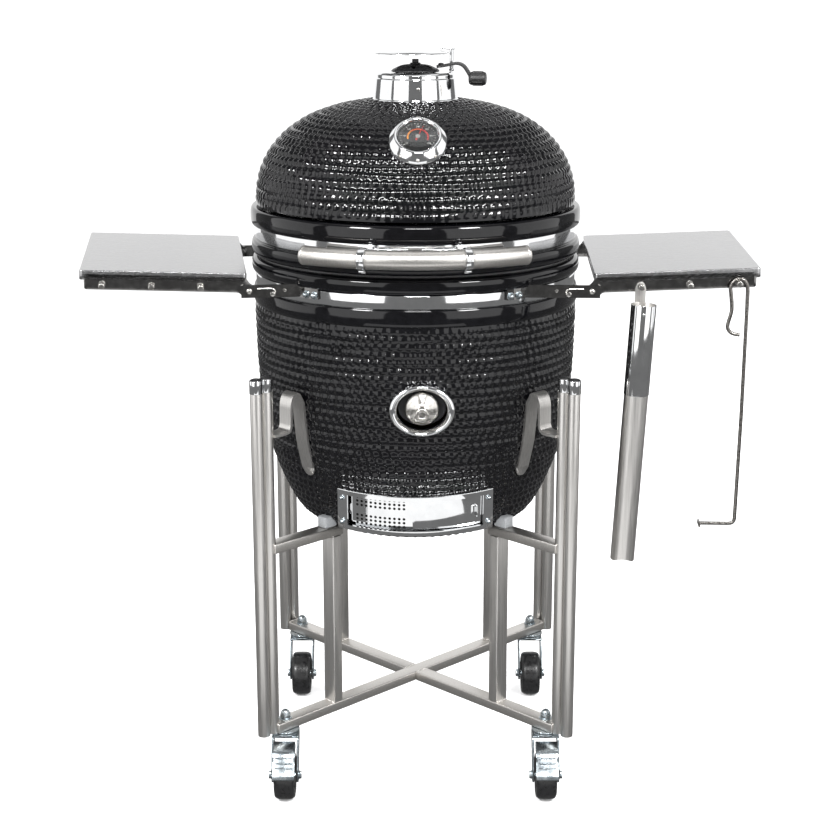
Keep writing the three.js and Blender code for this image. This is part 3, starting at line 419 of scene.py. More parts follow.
# Soda-lime lens: clear, thin.
tree, shader, place = newFinish("lensGlass", {"IOR": 1.52, "Transmission Weight": 1.0,
                                              "Base Color": linear("f6f8f8")})
haze = addNode(tree, "ShaderNodeTexNoise", {"Scale": 60.0}, {"Vector": place})
soft = addNode(tree, "ShaderNodeMapRange", {"To Min": 0.0, "To Max": 0.03}, {0: haze.outputs["Fac"]})
tree.links.new(soft.outputs[0], shader.inputs["Roughness"])

# Lathe-turned stainless: fine rings round the axis of the knob.
tree, shader, place = newFinish("turnedSteel", {"Metallic": 1.0})
varied(tree, shader, place, (linear("b4b1ac"), linear("d6d4d0")), (0.14, 0.28), 0.004, bump=0.05)

# Polished stainless flat bar, straight from the roll, with painted shade: its base colour is painted dark all
# over, a painted reflection of a dark room.
tree, shader, place = newFinish("polishedBarPaintedDark", {"Metallic": 1.0})
varied(tree, shader, place, (linear("6f6e6d"), linear("8c8b8a")), (0.08, 0.18), 0.01, bump=0.05)

# Plated steel rod, dulled grey.
tree, shader, place = newFinish("darkRod", {"Metallic": 1.0})
varied(tree, shader, place, (linear("6f6c69"), linear("8b8884")), (0.22, 0.36), 0.004, bump=0.08)

# Grey moulded rubber pad.
tree, shader, place = newFinish("padRubber", {"IOR": 1.5})
varied(tree, shader, place, (linear("6c6e70"), linear("86888a")), (0.6, 0.8), 0.002, bump=0.3)

# Painted shade: a near-black colour that stands for the shade inside a slot or socket.
tree, shader, place = newFinish("shadowBlack", {"IOR": 1.4})
varied(tree, shader, place, (linear("020202"), linear("060606")), (0.8, 0.95), 0.003)
print("finishes ready:", len(finishes))


# ---- ceramic bowl and lid ----

ceramic = {
    # share of the rim radius, share of the bowl's depth or of the lid's height
    "bowlLine": [(0.977, 0.172), (0.974, 0.237), (0.962, 0.431), (0.926, 0.623),
                 (0.859, 0.778), (0.734, 0.932), (0.6, 0.985), (0.47, 0.999)],
    "domeLine": [(0.968, 0.34), (0.957, 0.398), (0.945, 0.497), (0.907, 0.616), (0.841, 0.727),
                 (0.749, 0.822), (0.631, 0.9), (0.483, 0.958), (0.36, 0.986), (0.28, 1.0)],
    "wall": 24,
    "bumpPitch": 13.2,  # from one bump to the next along a row
    "rowPitch": 12.0,
    "bumpHeight": 3.4,
    "bumpColumns": 460,
    "rowSteps": 5.2,  # mesh rows to a row of bumps
}
bowlDepth = jointZ - shellLow.z
lidTop = spanOf("lid_shell")[1].z
lidHeight = lidTop - jointZ


def bumpAt(turn, arc, radiusAtRow):
    # height of the nearest bump, from 0 between bumps to 1 on its crown
    pitch, rowPitch = ceramic["bumpPitch"], ceramic["rowPitch"]
    row = math.floor(arc / rowPitch)
    best = 0
    for near in (row - 1, row, row + 1):
        radius = radiusAtRow(max(near, 0))
        count = max(6, round(math.tau * radius / pitch))
        phase = 0.5 * (near % 2) + 0.13 * math.sin(1.7 * near)
        place = turn * count + phase
        wander = 0.16 * math.sin(12.9898 * math.floor(place) + 78.233 * near)
        across = (place - math.floor(place) - 0.5 + wander * 0.5) * math.tau * radius / count
        along = arc - (near + 0.5 + 0.5 * wander) * rowPitch
        spread = 0.5 * pitch
        far = (across * across + along * along) / (spread * spread)
        best = max(best, 1 - far)
    return max(best, 0) ** 0.75


def pebbledShell(outside, inside, edge=10):
    # outside is dense and pebbled, inside is a plain wall; both run from the rim to the middle
    part = bmesh.new()
    arcLayer = part.verts.layers.float.new("arc")
    lean = part.verts.layers.float_vector.new("lean")
    spacing = ceramic["rowPitch"] / ceramic["rowSteps"]
    rows = evenly(outside, spacing)
    side = 1 if rows[-1].y > rows[0].y else -1
    verts = []
    for i, point in enumerate(rows):
        before, after = rows[max(i - 1, 0)], rows[min(i + 1, len(rows) - 1)]
        along = (after - before).normalized()
        vert = part.verts.new((point.x, 0, point.y))
        vert[arcLayer] = i * spacing
        vert[lean] = (side * along.y, 0, -side * along.x)
        verts.append(vert)
    for point in inside:
        vert = part.verts.new((point[0], 0, point[1]))
        vert[arcLayer] = -1
        verts.append(vert)
    edges = [part.edges.new(pair) for pair in zip(verts, verts[1:] + verts[:1])]
    bmesh.ops.spin(part, geom=verts + edges, cent=(0, 0, 0), axis=(0, 0, 1), angle=math.tau,
                   steps=ceramic["bumpColumns"], use_merge=True)
    total = (len(rows) - 1) * spacing
    radii = [rows[min(round((k + 0.5) * ceramic["rowSteps"]), len(rows) - 1)].x
             for k in range(int(total / ceramic["rowPitch"]) + 3)]
    for vert in part.verts:
        arc = vert[arcLayer]
        if arc < 0:
            continue
        turn = math.atan2(vert.co.y, vert.co.x) / math.tau % 1
        fade = min(1, arc / edge, (total - arc) / edge)
        if fade <= 0:
            continue
        rise = ceramic["bumpHeight"] * fade * bumpAt(turn, arc, lambda k: radii[min(k, len(radii) - 1)])
        radial = Vector((vert.co.x, vert.co.y, 0)).normalized()
        out = vert[lean]
        vert.co += (radial * out.x + Vector((0, 0, out.z))) * rise
    return part


def inward(line, thickness, up):
    made = []
    for i, point in enumerate(line):
        along = (line[min(i + 1, len(line) - 1)] - line[max(i - 1, 0)]).normalized()
        across = Vector((-abs(along.y), abs(along.x) if up else -abs(along.x)))
        made.append(point + across * thickness)
    return made


def ovalCutter(width, height, low, high, at, steps=64):
    # an oval prism along Y, at is its centre in X and Z
    outline = [(at[0] + width / 2 * math.cos(math.tau * k / steps),
                at[1] + height / 2 * math.sin(math.tau * k / steps)) for k in range(steps)]
    part = platePart(outline, -high, -low, 0)
    part.transform(turned(90, "X"))
    return part


def arcOutline(inner, outer, half, steps=24):
    angles = [math.radians(-90 - half + 2 * half * k / steps) for k in range(steps + 1)]
    ring = [(outer * math.cos(a), outer * math.sin(a)) for a in angles]
    return ring + [(inner * math.cos(a), inner * math.sin(a)) for a in reversed(angles)]


portLow, portHigh = spanOf("port_ring")
port = {
    "at": ((portLow.x + portHigh.x) / 2 - axisX, (portLow.z + portHigh.z) / 2),
    "width": portHigh.x - portLow.x,
    "height": portHigh.z - portLow.z,
    "face": axisY - portLow.y,  # front of the ring, from the body's axis
    "rim": 9,
}
draftJoint = joints["draft_screen_slide"]
draftFrame = frameAt(draftJoint["pos_m"], draftJoint["axis"])
bodyToDraft = bodyFrame.inverted() @ draftFrame
draft = {
    "radius": 222.7,  # inside of the curved track
    "depth": 12,
    "height": 66,
    "halfAngle": 30,
    "rail": 8,
    "panel": 1.5,
    "openingAngle": 13,
    "openingHeight": 40,
    "holeColumns": 11,
    "holeHeights": (8.5, 15, 21.5, -8.5, -15, -21.5),
    "holeRadius": 2.1,
    "holeSpacing": 1.85,  # degrees
    "firstHole": -22.8,  # degrees
}

bowlLine = [(r * rimRadius, jointZ - z * bowlDepth) for r, z in ceramic["bowlLine"]]
bowlCurve = smoothLine(bowlLine)
bowlInner = inward(bowlCurve[6:-2:6], ceramic["wall"], True)
bottom = jointZ - bowlDepth
bowlShell = pebbledShell(bowlCurve, [(60, bottom), (60, bottom + ceramic["wall"])] + bowlInner[::-1])
hole = ovalCutter(port["width"] - 2 * port["rim"] + 1, port["height"] - 2 * port["rim"] + 1, -300, -150,
                  port["at"])
mouth = platePart(arcOutline(100, 240, draft["openingAngle"]), -draft["openingHeight"] / 2,
                  draft["openingHeight"] / 2, 0)
mouth.transform(bodyToDraft)
put(hole, mouth, keepNormals=True)
bowlShell = carved(bowlShell, hole)
put(bowlShell, spunPart([(0, bottom), (62, bottom), (62, bottom + 24), (0, bottom + 24)], 64))
finishPiece("bowl_glazed", bowlShell, "blackGlaze", "base_and_cart", replaces=["base_shell"],
            sharp=60)
print("bowl done")

rims = {"bead": 24, "seatIn": 9, "seat": 22, "shoulder": 27, "round": 11, "seat radius": 226}


def rimRing(side, shoulderRadius, tuck):
    # rim bead, band seat and shoulder bead as one smooth ring; side is +1 on the lid
    rim, seat = rimRadius, rimRadius - rims["seatIn"]
    low = rims["bead"] + 1 + rims["seat"]
    loop = [(rims["seat radius"], 1.6), (rim, 1.6), (rim, rims["bead"]), (seat, rims["bead"] + 1),
            (seat, low), (shoulderRadius, low), (shoulderRadius, low + rims["shoulder"]),
            (shoulderRadius - tuck, low + rims["shoulder"] + 1),
            (rims["seat radius"], low + rims["shoulder"] + 1)]
    sharp = [Vector(p) for p in loop]
    soft = rounded(sharp, rims["round"], 6, closed=True)
    return spunPart([(p.x, jointZ + side * p.y) for p in soft], 200, closed=True)


baseRim = bmesh.new()
put(baseRim, rimRing(-1, rimRadius - 2, 8))
finishPiece("bowl_rim", baseRim, "blackGlaze", "base_and_cart")
lidRim = bmesh.new()
put(lidRim, rimRing(1, rimRadius + 1, 10))
finishPiece("lid_rim", lidRim, "blackGlaze", "lid")

domeLine = [(r * rimRadius, jointZ + z * lidHeight) for r, z in ceramic["domeLine"]]
domeCurve = smoothLine(domeLine)
flueRadius = 52
domeInner = [p for p in inward(domeCurve[6::6], ceramic["wall"], False) if p.x > flueRadius + 4]
domeShell = pebbledShell(domeCurve + [Vector((60, lidTop))],
                         [(flueRadius, lidTop), (flueRadius, lidTop - 22)] + domeInner[::-1])
gaugeJoint = joints["needle_sweep"]
gaugeFrame = frameAt(gaugeJoint["pos_m"], gaugeJoint["axis"])
bodyToGauge = bodyFrame.inverted() @ gaugeFrame
gauge = {"radius": 43, "sink": 7, "height": 26, "dial": 27}
pocket = rodPart(gauge["radius"] - 1.5, 30, 0, steps=64)
pocket.transform(bodyToGauge @ moved(0, 0, 15 - gauge["sink"] + 0.5))
domeShell = carved(domeShell, pocket)
finishPiece("lid_glazed", domeShell, "blackGlaze", "lid", replaces=["lid_shell"],
            sharp=60)
print("lid done")

for side, name, body in ((-1, "base_gasket", "base_and_cart"), (1, "lid_gasket", "lid")):
    low, high = spanOf(name)
    felt = bmesh.new()
    outer = (high.x - low.x) / 2
    loop = rounded([(outer - 18, low.z), (outer, low.z), (outer, high.z), (outer - 18, high.z)], 0.3, 2,
                   closed=True)
    put(felt, spunPart(loop, 180, closed=True))
    finishPiece(name + "_felt", felt, "gasketFelt", body, replaces=[name])


# ---- turns that lay a flat plate into the front view or the side view ----

facingFront = turned(90, "X")  # outline X and Y become X and Z
# outline X and Y become Y and Z
facingSide = Matrix(((0, 0, 1, 0), (1, 0, 0, 0), (0, 1, 0, 0), (0, 0, 0, 1)))
outFront = turned(90, "X")  # a part that stands on Z points to the front


def around(degrees, radius, z):
    # a place on a circle about the body, 0 degrees is the front, its own -Y pointing outward
    return turned(degrees) @ moved(0, -radius, z)


def screwPart(radius, height):
    # low round head with a crossed recess
    head = spunPart([(0, height), (radius * 0.5, height * 0.92), (radius * 0.88, height * 0.55), (radius, 0),
                     (0, 0)], 20)
    for size in ((radius * 1.1, radius * 0.26, height), (radius * 0.26, radius * 1.1, height)):
        slot = boxPart(size, 0)
        slot.transform(moved(0, 0, height))
        head = carved(head, slot)
    return head


# ---- chromed bands ----

band = {"thickness": 2.5, "edge": 0.9, "lugAngles": (-14, 14), "rod": 2.6}
bandRadius = {}
for name, body in (("lid_band", "lid"), ("base_band", "base_and_cart")):
    low, high = spanOf(name)
    bandRadius[name] = (high.x - low.x) / 2
    inner = bandRadius[name] - band["thickness"]
    loop = rounded([(inner, low.z), (bandRadius[name], low.z), (bandRadius[name], high.z), (inner, high.z)],
                   band["edge"], 3, closed=True)
    hoop = bmesh.new()
    put(hoop, spunPart(loop, 240, closed=True))
    finishPiece(name + "_hoop", hoop, "mirrorSteel", body, replaces=[name])
    middle = (low.z + high.z) / 2
    clasp = bmesh.new()
    spots = band["lugAngles"] if body == "lid" else (150, 210)
    for degrees in spots:
        put(clasp, boxPart((15, 3, high.z - low.z - 1), 0.8), around(degrees, bandRadius[name] + 1.6, middle))
        put(clasp, boxPart((9, 8, 11), 1), around(degrees, bandRadius[name] + 5, middle + 1))
        put(clasp, screwPart(2.6, 1.6), around(degrees, bandRadius[name] + 9, middle + 1) @ outFront)
    if body == "lid":
        ends = [around(d, bandRadius[name] + 5, middle + 3).translation for d in spots]
        put(clasp, wirePart([ends[0].lerp(ends[1], k / 6) for k in range(7)], band["rod"], 4))
        for share, size in ((0.2, 7), (0.78, 7), (0.86, 7)):
            put(clasp, hexPart(size, 4), Matrix.Translation(ends[0].lerp(ends[1], share)) @ turned(90, "Y"))
    finishPiece(name + "_clasp", clasp, "mirrorSteel", body)
print("bands done")


# ---- chimney, vent and rain lid ----

chimney = {"base": 66, "top": 62, "wall": 4, "flue": 46, "ventSeat": 32, "lip": 3}
chimneyLow, chimneyHigh = spanOf("chimney_body")
low, top = chimneyLow.z, chimneyHigh.z - chimney["lip"]
ventSeat = chimneyHigh.z + 0.3
stack = bmesh.new()
loop = [(chimney["flue"], low), (chimney["base"], low), (chimney["base"], low + 3),
        (chimney["base"] - 1, low + 4), (chimney["top"], top - 6), (chimney["top"] - 1.5, top - 5),
        (chimney["top"] - 1.5, top), (chimney["top"] - 5, top + 3), (43, top + 3),
        (chimney["ventSeat"], top + 1), (chimney["ventSeat"], top - 3),
        (chimney["top"] - chimney["wall"], top - 4), (chimney["top"] - chimney["wall"], low + 6),
        (chimney["flue"], low + 6)]
put(stack, spunPart(rounded(loop, 1.1, 3, closed=True), 144, closed=True))
finishPiece("chimney_stack", stack, "mirrorSteel", "lid", replaces=["chimney_body"])
screws = bmesh.new()
for degrees in (4, 124, 244):
    put(screws, screwPart(2.6, 1.5), around(degrees, chimney["top"] + 1.4, low + 21) @ outFront)
put(screws, boxPart((1.4, 1.2, 22), 0.3), around(38, chimney["top"] + 1.8, low + 17))
finishPiece("chimney_screws", screws, "brushedBar", "lid")

vent = {"radius": 37, "rise": 13, "slots": 6, "leverAngle": -12, "leverReach": 96, "knob": 10.5}
radius, rise = vent["radius"], vent["rise"]
shell = [(0, ventSeat + rise - 3), (radius * 0.55, ventSeat + rise - 6), (radius - 4, ventSeat),
         (radius, ventSeat), (radius, ventSeat + 3), (radius * 0.6, ventSeat + rise - 3),
         (0, ventSeat + rise)]
dome = spunPart(rounded(shell, 5, 4), 96)
slots = bmesh.new()
for k in range(vent["slots"]):
    turn = turned(60 * k + 24)
    put(slots, boxPart((0.42 * radius, 5, 40), 2, 3), turn @ moved(0.62 * radius, 0, ventSeat))
dome = carved(dome, slots)
put(dome, rodPart(8, 2, 0.5), moved(0, 0, ventSeat + rise - 0.4))
put(dome, hexPart(10, 6, dome=False), moved(0, 0, ventSeat + rise + 3))
for k in range(3):
    put(dome, spunPart([(0, 2.2), (2.2, 1.6), (3, 0), (0, 0)], 16),
        turned(120 * k) @ moved(0.86 * radius, 0, ventSeat + 3))
finishPiece("vent_cap", dome, "blackEnamel", "vent", replaces=["vent_dome"])

lever = bmesh.new()
line = rounded([(radius - 3, ventSeat + 8), (radius + 8, ventSeat + 9.5),
                (vent["leverReach"] - 30, ventSeat + 14), (vent["leverReach"] - 20, ventSeat + 10),
                (vent["leverReach"] - 12, ventSeat - 2), (vent["leverReach"] - 8, ventSeat - 10)], 6, 4)
put(lever, platePart(barOutline(line, 4.6), -5.5, 5.5, 0.8), facingFront)
side = rounded([(0, -13), (8.6, -13), (10.5, -8), (10.5, 9), (8.8, 13), (0, 13)], 2, 4)
knobAt = moved(vent["leverReach"] + 1, 0, ventSeat - 9) @ turned(90, "Y")
put(lever, spunPart(side, 40), knobAt)
for k in range(12):
    rib = wirePart([(10.2 * math.cos(k * math.tau / 12), 10.2 * math.sin(k * math.tau / 12), z)
                    for z in (-7, 8)], 0.9, 2)
    put(lever, rib, knobAt)
put(lever, spunPart([(0, 3), (3.4, 2.4), (5, 0), (0, 0)], 24), moved(radius + 3, 0, ventSeat + 11))
finishPiece("vent_lever_arm", lever, "mouldedNylon", "vent", bodyFrame @ turned(vent["leverAngle"]),
            replaces=["vent_lever"])

rain = {"radius": 58, "shift": -6, "post": 3.5}
rainLow, rainHigh = spanOf("rain_lid")
post = Vector(joints["rain_lid_swing"]["pos_m"]) / mm - Vector((axisX, axisY, 0))
cap = bmesh.new()
z = rainHigh.z - 2.5
disc = [(0, z + 2.5), (rain["radius"] * 0.5, z + 1.6), (rain["radius"] * 0.85, z - 1.6),
        (rain["radius"] - 1, z - 3.6), (rain["radius"], z - 5), (rain["radius"] - 1.4, z - 5.4),
        (rain["radius"] * 0.83, z - 3.4), (rain["radius"] * 0.5, z - 0.2), (0, z + 0.7)]
put(cap, spunPart(rounded(disc, 1.2, 3), 128), moved(rain["shift"], 0, 0))
put(cap, boxPart((22, 12, 2), 0.8), moved(post.x - 7, post.y - 2, z + 1) @ turned(17))
put(cap, rodPart(rain["post"], z - rainLow.z, 0.3), moved(post.x, post.y, (z + rainLow.z) / 2))
put(cap, hexPart(8, 3), moved(post.x, post.y, rainLow.z + 2))
finishPiece("rain_cap", cap, "mirrorSteel", "rain_lid", replaces=["rain_lid"])
print("chimney done")


# ---- thermometer ----

gauge.update({"lensHeight": 17.4, "face": 14.3, "tickCount": 25, "sweep": 250, "needle": 21,
              "needleTurn": -22})
bezel = bmesh.new()
top = gauge["height"] - gauge["sink"]
side = [(0, -gauge["sink"]), (gauge["radius"] - 2, -gauge["sink"]), (gauge["radius"], -1),
        (gauge["radius"], 5), (gauge["radius"] - 1.5, 9), (gauge["radius"] - 6, 15), (35, top - 1.5),
        (33.5, top), (30.5, top), (29.5, top - 2), (28.5, top - 3), (28, top - 6), (0, top - 6)]
put(bezel, spunPart(rounded(side, 1.4, 3), 128))
finishPiece("thermometer_bezel", bezel, "mirrorSteel", "lid", gaugeFrame, replaces=["thermometer_case"])
screws = bmesh.new()
for degrees in (-38, 0, 38, 180):
    put(screws, screwPart(2.7, 1.7), turned(degrees) @ moved(0, -40.6, 10.5) @ turned(52, "X"))
finishPiece("thermometer_screws", screws, "brushedBar", "lid", gaugeFrame)
face = bmesh.new()
put(face, rodPart(gauge["dial"], 1.2, 0.2, steps=72), moved(0, 0, gauge["face"] - 0.6))
finishPiece("dial_plate", face, "dialLacquer", "lid", gaugeFrame, replaces=["thermometer_dial"])


def dialArc(inner, outer, start, end):
    # angles run clockwise from straight up
    angles = [math.radians(90 - start - (end - start) * k / 20) for k in range(21)]
    ring = [(outer * math.cos(a), outer * math.sin(a)) for a in angles]
    return platePart(ring + [(inner * math.cos(a), inner * math.sin(a)) for a in reversed(angles)],
                     gauge["face"], gauge["face"] + 0.12, 0)


for name, ink, start, end in (("dial_zone_low", "inkAmber", -105, -45),
                              ("dial_zone_mid", "inkOrange", -44, 20),
                              ("dial_zone_high", "inkRed", 21, 112)):
    zone = bmesh.new()
    put(zone, dialArc(13.2, 15.6, start, end))
    finishPiece(name, zone, ink, "lid", gaugeFrame)
marks = bmesh.new()
for k in range(gauge["tickCount"]):
    turn = -gauge["sweep"] / 2 + gauge["sweep"] * k / (gauge["tickCount"] - 1)
    long = 3.4 if k % 4 == 0 else 1.8
    put(marks, boxPart((0.45, long, 0.12), 0),
        turned(-turn) @ moved(0, 25.4 - long / 2, gauge["face"] + 0.06))
for k in range(7):
    turn = math.radians(90 + gauge["sweep"] / 2 - gauge["sweep"] * k / 6)
    text = bpy.data.curves.new("number", "FONT")
    text.body, text.size, text.extrude = str(50 + 50 * k), 3.6, 0.05
    text.align_x, text.align_y = "CENTER", "CENTER"
    holder = bpy.data.objects.new("number", text)
    bpy.context.scene.collection.objects.link(holder)
    mesh = bpy.data.meshes.new_from_object(holder.evaluated_get(bpy.context.evaluated_depsgraph_get()))
    digits = bmesh.new()
    digits.from_mesh(mesh)
    bpy.data.objects.remove(holder)
    bpy.data.curves.remove(text)
    bpy.data.meshes.remove(mesh)
    put(marks, digits, moved(19 * math.cos(turn), 19 * math.sin(turn), gauge["face"] + 0.06))
finishPiece("dial_marks", marks, "inkWhite", "lid", gaugeFrame)
needle = bmesh.new()
put(needle, platePart([(-1.3, -7), (1.3, -7), (0.9, 0), (0.3, gauge["needle"]), (-0.3, gauge["needle"]),
                       (-0.9, 0)], 15.4, 16, 0.1), turned(gauge["needleTurn"]))
finishPiece("needle_blade", needle, "inkRed", "needle", gaugeFrame, replaces=["thermometer_needle"])
hub = bmesh.new()
put(hub, rodPart(3.4, 2, 0.6), moved(0, 0, 15.7))
finishPiece("needle_hub", hub, "brushedBar", "needle", gaugeFrame)
lens = bmesh.new()
put(lens, rodPart(28.6, 0.8, 0.2, steps=72), moved(0, 0, gauge["lensHeight"] + 0.3))
finishPiece("thermometer_lens", lens, "lensGlass", "lid", gaugeFrame)
print("thermometer done")


# ---- handle ----

handleLow, handleHigh = spanOf("handle_tube")
handle = {"radius": 14, "halfAngle": 34, "clampAngle": 15, "clampWidth": 11, "seams": (-15, 15)}
handleZ = (handleLow.z + handleHigh.z) / 2
handleArc = axisY - handleLow.y - handle["radius"]
handleLine = [around(handle["halfAngle"] * (2 * k / 60 - 1), handleArc, handleZ).translation
              for k in range(61)]
tube = bmesh.new()
put(tube, wirePart(handleLine, handle["radius"], 10))
finishPiece("handle_grip", tube, "brushedBar", "lid", replaces=["handle_tube"])
caps = bmesh.new()
for degrees in (-handle["halfAngle"], handle["halfAngle"]):
    end = around(degrees, handleArc, handleZ) @ turned(90, "Y")
    side = 1 if degrees > 0 else -1
    put(caps, rodPart(handle["radius"] + 0.25, 5, 1.2), end @ moved(0, 0, side * -1.9))
for degrees in handle["seams"]:
    for away in (-1.5, 1.5):
        put(caps, rodPart(handle["radius"] + 0.5, 2, 0.5),
            around(degrees + away, handleArc, handleZ) @ turned(90, "Y"))
finishPiece("handle_rings", caps, "brushedBar", "lid")
bandZ = (spanOf("lid_band")[0].z + spanOf("lid_band")[1].z) / 2
for name, degrees in (("handle_bracket_left", -handle["clampAngle"]),
                      ("handle_bracket_right", handle["clampAngle"])):
    clamp = bmesh.new()
    hold = turned(degrees)
    put(clamp, rodPart(handle["radius"] + 3, handle["clampWidth"], 1, handle["radius"] + 0.4),
        hold @ moved(0, -handleArc, handleZ) @ turned(90, "Y"))
    inner, outer = bandRadius["lid_band"] + 0.5, handleArc - handle["radius"] - 1
    put(clamp, boxPart((handle["clampWidth"], outer - inner, 10), 1.2),
        hold @ moved(0, -(inner + outer) / 2, bandZ - 2))
    put(clamp, boxPart((20, 3, 16), 1), hold @ moved(0, -inner - 1.5, bandZ))
    put(clamp, boxPart((handle["clampWidth"], 10, 4), 1),
        hold @ moved(0, -handleArc, handleZ - handle["radius"] - 3))
    put(clamp, screwPart(2.6, 1.6), hold @ moved(0, -handleArc - handle["radius"] - 2.6, handleZ) @ outFront)
    for x in (-7.4, 7.4):
        put(clamp, screwPart(2, 1.4), hold @ moved(x, -inner - 3, bandZ + 4) @ outFront)
    finishPiece(name + "_clamp", clamp, "mirrorSteel", "lid", replaces=[name])
print("handle done")


# ---- rear hinge: its leaves stay as they are, with springs, bolts and end nuts added ----

hinge = {"coils": 9, "coilRadius": 9.5, "wire": 1.7, "pitch": 3.7}
pinAt = Vector(joints["lid_hinge"]["pos_m"]) / mm - Vector((axisX, axisY, 0))
springs = bmesh.new()
for side in (-1, 1):
    points = []
    for k in range(hinge["coils"] * 16 + 1):
        turn = math.tau * k / 16
        points.append((side * (8 + hinge["pitch"] * turn / math.tau),
                       pinAt.y + hinge["coilRadius"] * math.cos(turn),
                       pinAt.z + hinge["coilRadius"] * math.sin(turn)))
    last = Vector(points[-1])
    points.append(last + Vector((side * 4, 2, 12)))
    put(springs, wirePart(points, hinge["wire"], 2))
finishPiece("hinge_springs", springs, "zincPlate", "base_and_cart")
nuts = bmesh.new()
for side in (-1, 1):
    put(nuts, hexPart(15, 6, dome=True),
        Matrix.Translation(pinAt) @ moved(side * 71, 0, 0) @ turned(90 * side, "Y"))
finishPiece("hinge_nuts", nuts, "zincPlate", "base_and_cart")
for name, body, z in (("hinge_base_bolts", "base_and_cart", spanOf("base_band")),
                      ("hinge_lid_bolts", "lid", spanOf("lid_band"))):
    bolts = bmesh.new()
    height = (z[0].z + z[1].z) / 2
    for degrees in (167, 175, 185, 193):
        put(bolts, hexPart(8, 3), around(degrees, bandRadius["lid_band"] + 5.6, height) @ outFront)
    finishPiece(name, bolts, "zincPlate", body)
for name, finish in (("hinge_base_leaf", "blackEnamel"), ("hinge_lid_leaf", "blackEnamel"),
                     ("hinge_pin", "brushedBar")):
    node = frame["nodes"][name]
    node.data.materials.clear()
    node.data.materials.append(finishes[finish])


# ---- chip port ----

port.update({"disc": 25, "knob": 10, "squash": port["height"] / port["width"]})
portAt = moved(port["at"][0], 0, port["at"][1]) @ outFront
half = port["width"] / 2
ringBm = bmesh.new()
loop = [(half - 1, 205), (half, port["face"] - 10), (half, port["face"] - 3), (half - 4, port["face"]),
        (half - port["rim"] + 1, port["face"] - 1.5), (half - port["rim"] - 2, port["face"] - 6),
        (half - port["rim"] - 2, 205)]
put(ringBm, spunPart(rounded(loop, 2.4, 4, closed=True), 144, closed=True),
    portAt @ Matrix.Diagonal((1, port["squash"], 1, 1)))
finishPiece("port_collar", ringBm, "mirrorSteel", "base_and_cart", replaces=["port_ring"])
plugLow, plugHigh = spanOf("port_plug")
back = axisY - plugHigh.y
inside = half - port["rim"] - 3.5
dish = bmesh.new()
put(dish, spunPart(rounded([(0, back), (inside, back), (inside, back + 7), (inside - 3, back + 8),
                            (0, back + 8)], 1, 3), 96),
    portAt @ Matrix.Diagonal((1, (port["height"] / 2 - port["rim"] - 3.5) / inside, 1, 1)))
finishPiece("port_dish", dish, "blackEnamel", "port_plug", replaces=["port_plug"])
front = axisY - plugLow.y
disc = bmesh.new()
side = [(0, back + 7), (port["disc"], back + 7), (port["disc"], back + 15), (port["disc"] - 1.5, back + 17),
        (12, back + 22), (port["knob"] - 3, back + 24), (port["knob"] - 3, front - 16),
        (port["knob"], front - 14), (port["knob"], front - 1.5), (port["knob"] - 1.5, front), (6, front),
        (5.5, front - 1), (0, front - 1)]
put(disc, spunPart(rounded(side, 1, 3), 96), portAt)
finishPiece("port_knob", disc, "turnedSteel", "port_plug")
print("port done")


# ---- draft door ----

def curvedPlate(inner, outer, start, end, low, high, edge=0.4, steps=28):
    # part of a ring about Z, angles from the front
    angles = [math.radians(start + (end - start) * k / steps - 90) for k in range(steps + 1)]
    outline = [(outer * math.cos(a), outer * math.sin(a)) for a in angles]
    outline += [(inner * math.cos(a), inner * math.sin(a)) for a in reversed(angles)]
    return platePart(outline, low, high, edge)


track = draft["radius"]
halfTall, halfTurn = draft["height"] / 2, draft["halfAngle"]
window, windowTurn = halfTall - draft["rail"], halfTurn - 4
casing = curvedPlate(track - 14, track + draft["depth"], -halfTurn, halfTurn, -halfTall, halfTall, 1)
for hollow in (curvedPlate(track + 8, track + 30, -windowTurn, windowTurn, -window, window, 0),
               curvedPlate(track, track + 9, -halfTurn + 2, halfTurn - 2, -window - 3, window + 3, 0),
               curvedPlate(track - 40, track + 1, -draft["openingAngle"], draft["openingAngle"], -20, 20, 0)):
    casing = carved(casing, hollow, "EXACT")
finishPiece("draft_casing", casing, "mirrorSteel", "base_and_cart", draftFrame, replaces=["draft_frame"])
bolts = bmesh.new()
for degrees in (-halfTurn + 2, halfTurn - 2):
    for z in (-20, 20):
        put(bolts, hexPart(7, 3, dome=True), around(degrees, track + draft["depth"] + 1.2, z) @ outFront)
finishPiece("draft_bolts", bolts, "zincPlate", "base_and_cart", draftFrame)

# painted shade: a near-black sheet behind the draft window, where the bowl is only in shade
shadeSheet = curvedPlate(track + 0.2, track + 1, -windowTurn, windowTurn, -window, window, 0)
shadeSheet = carved(shadeSheet, curvedPlate(track - 40, track + 10, -draft["openingAngle"], draft["openingAngle"],
                                  -20, 20, 0), "EXACT")
finishPiece("draft_shade_sheet", shadeSheet, "shadowBlack", "base_and_cart", draftFrame)
reach = windowTurn + 1.5
screenIn, doorIn = track + 1.5, track + 5.5
screen = curvedPlate(screenIn, screenIn + draft["panel"], -reach, 1, -window - 2.7, window + 2.7, 0)
holes = bmesh.new()
for column in range(draft["holeColumns"]):
    turn = draft["firstHole"] + draft["holeSpacing"] * column
    for z in draft["holeHeights"]:
        put(holes, rodPart(draft["holeRadius"], 8, 0, steps=14), around(turn, screenIn, z) @ outFront)
screen = carved(screen, holes)
put(screen, boxPart((2, 3.6, 16), 0.6), around(-reach + 2, screenIn + 2, 0))
finishPiece("draft_sieve", screen, "mirrorSteel", "draft_screen", draftFrame, replaces=["draft_screen"])
door = bmesh.new()
put(door, curvedPlate(doorIn, doorIn + draft["panel"], -1, reach, -window - 2.7, window + 2.7, 0.4))
put(door, boxPart((2, 7, 18), 0.7), around(reach - 4, doorIn + 4, 0))
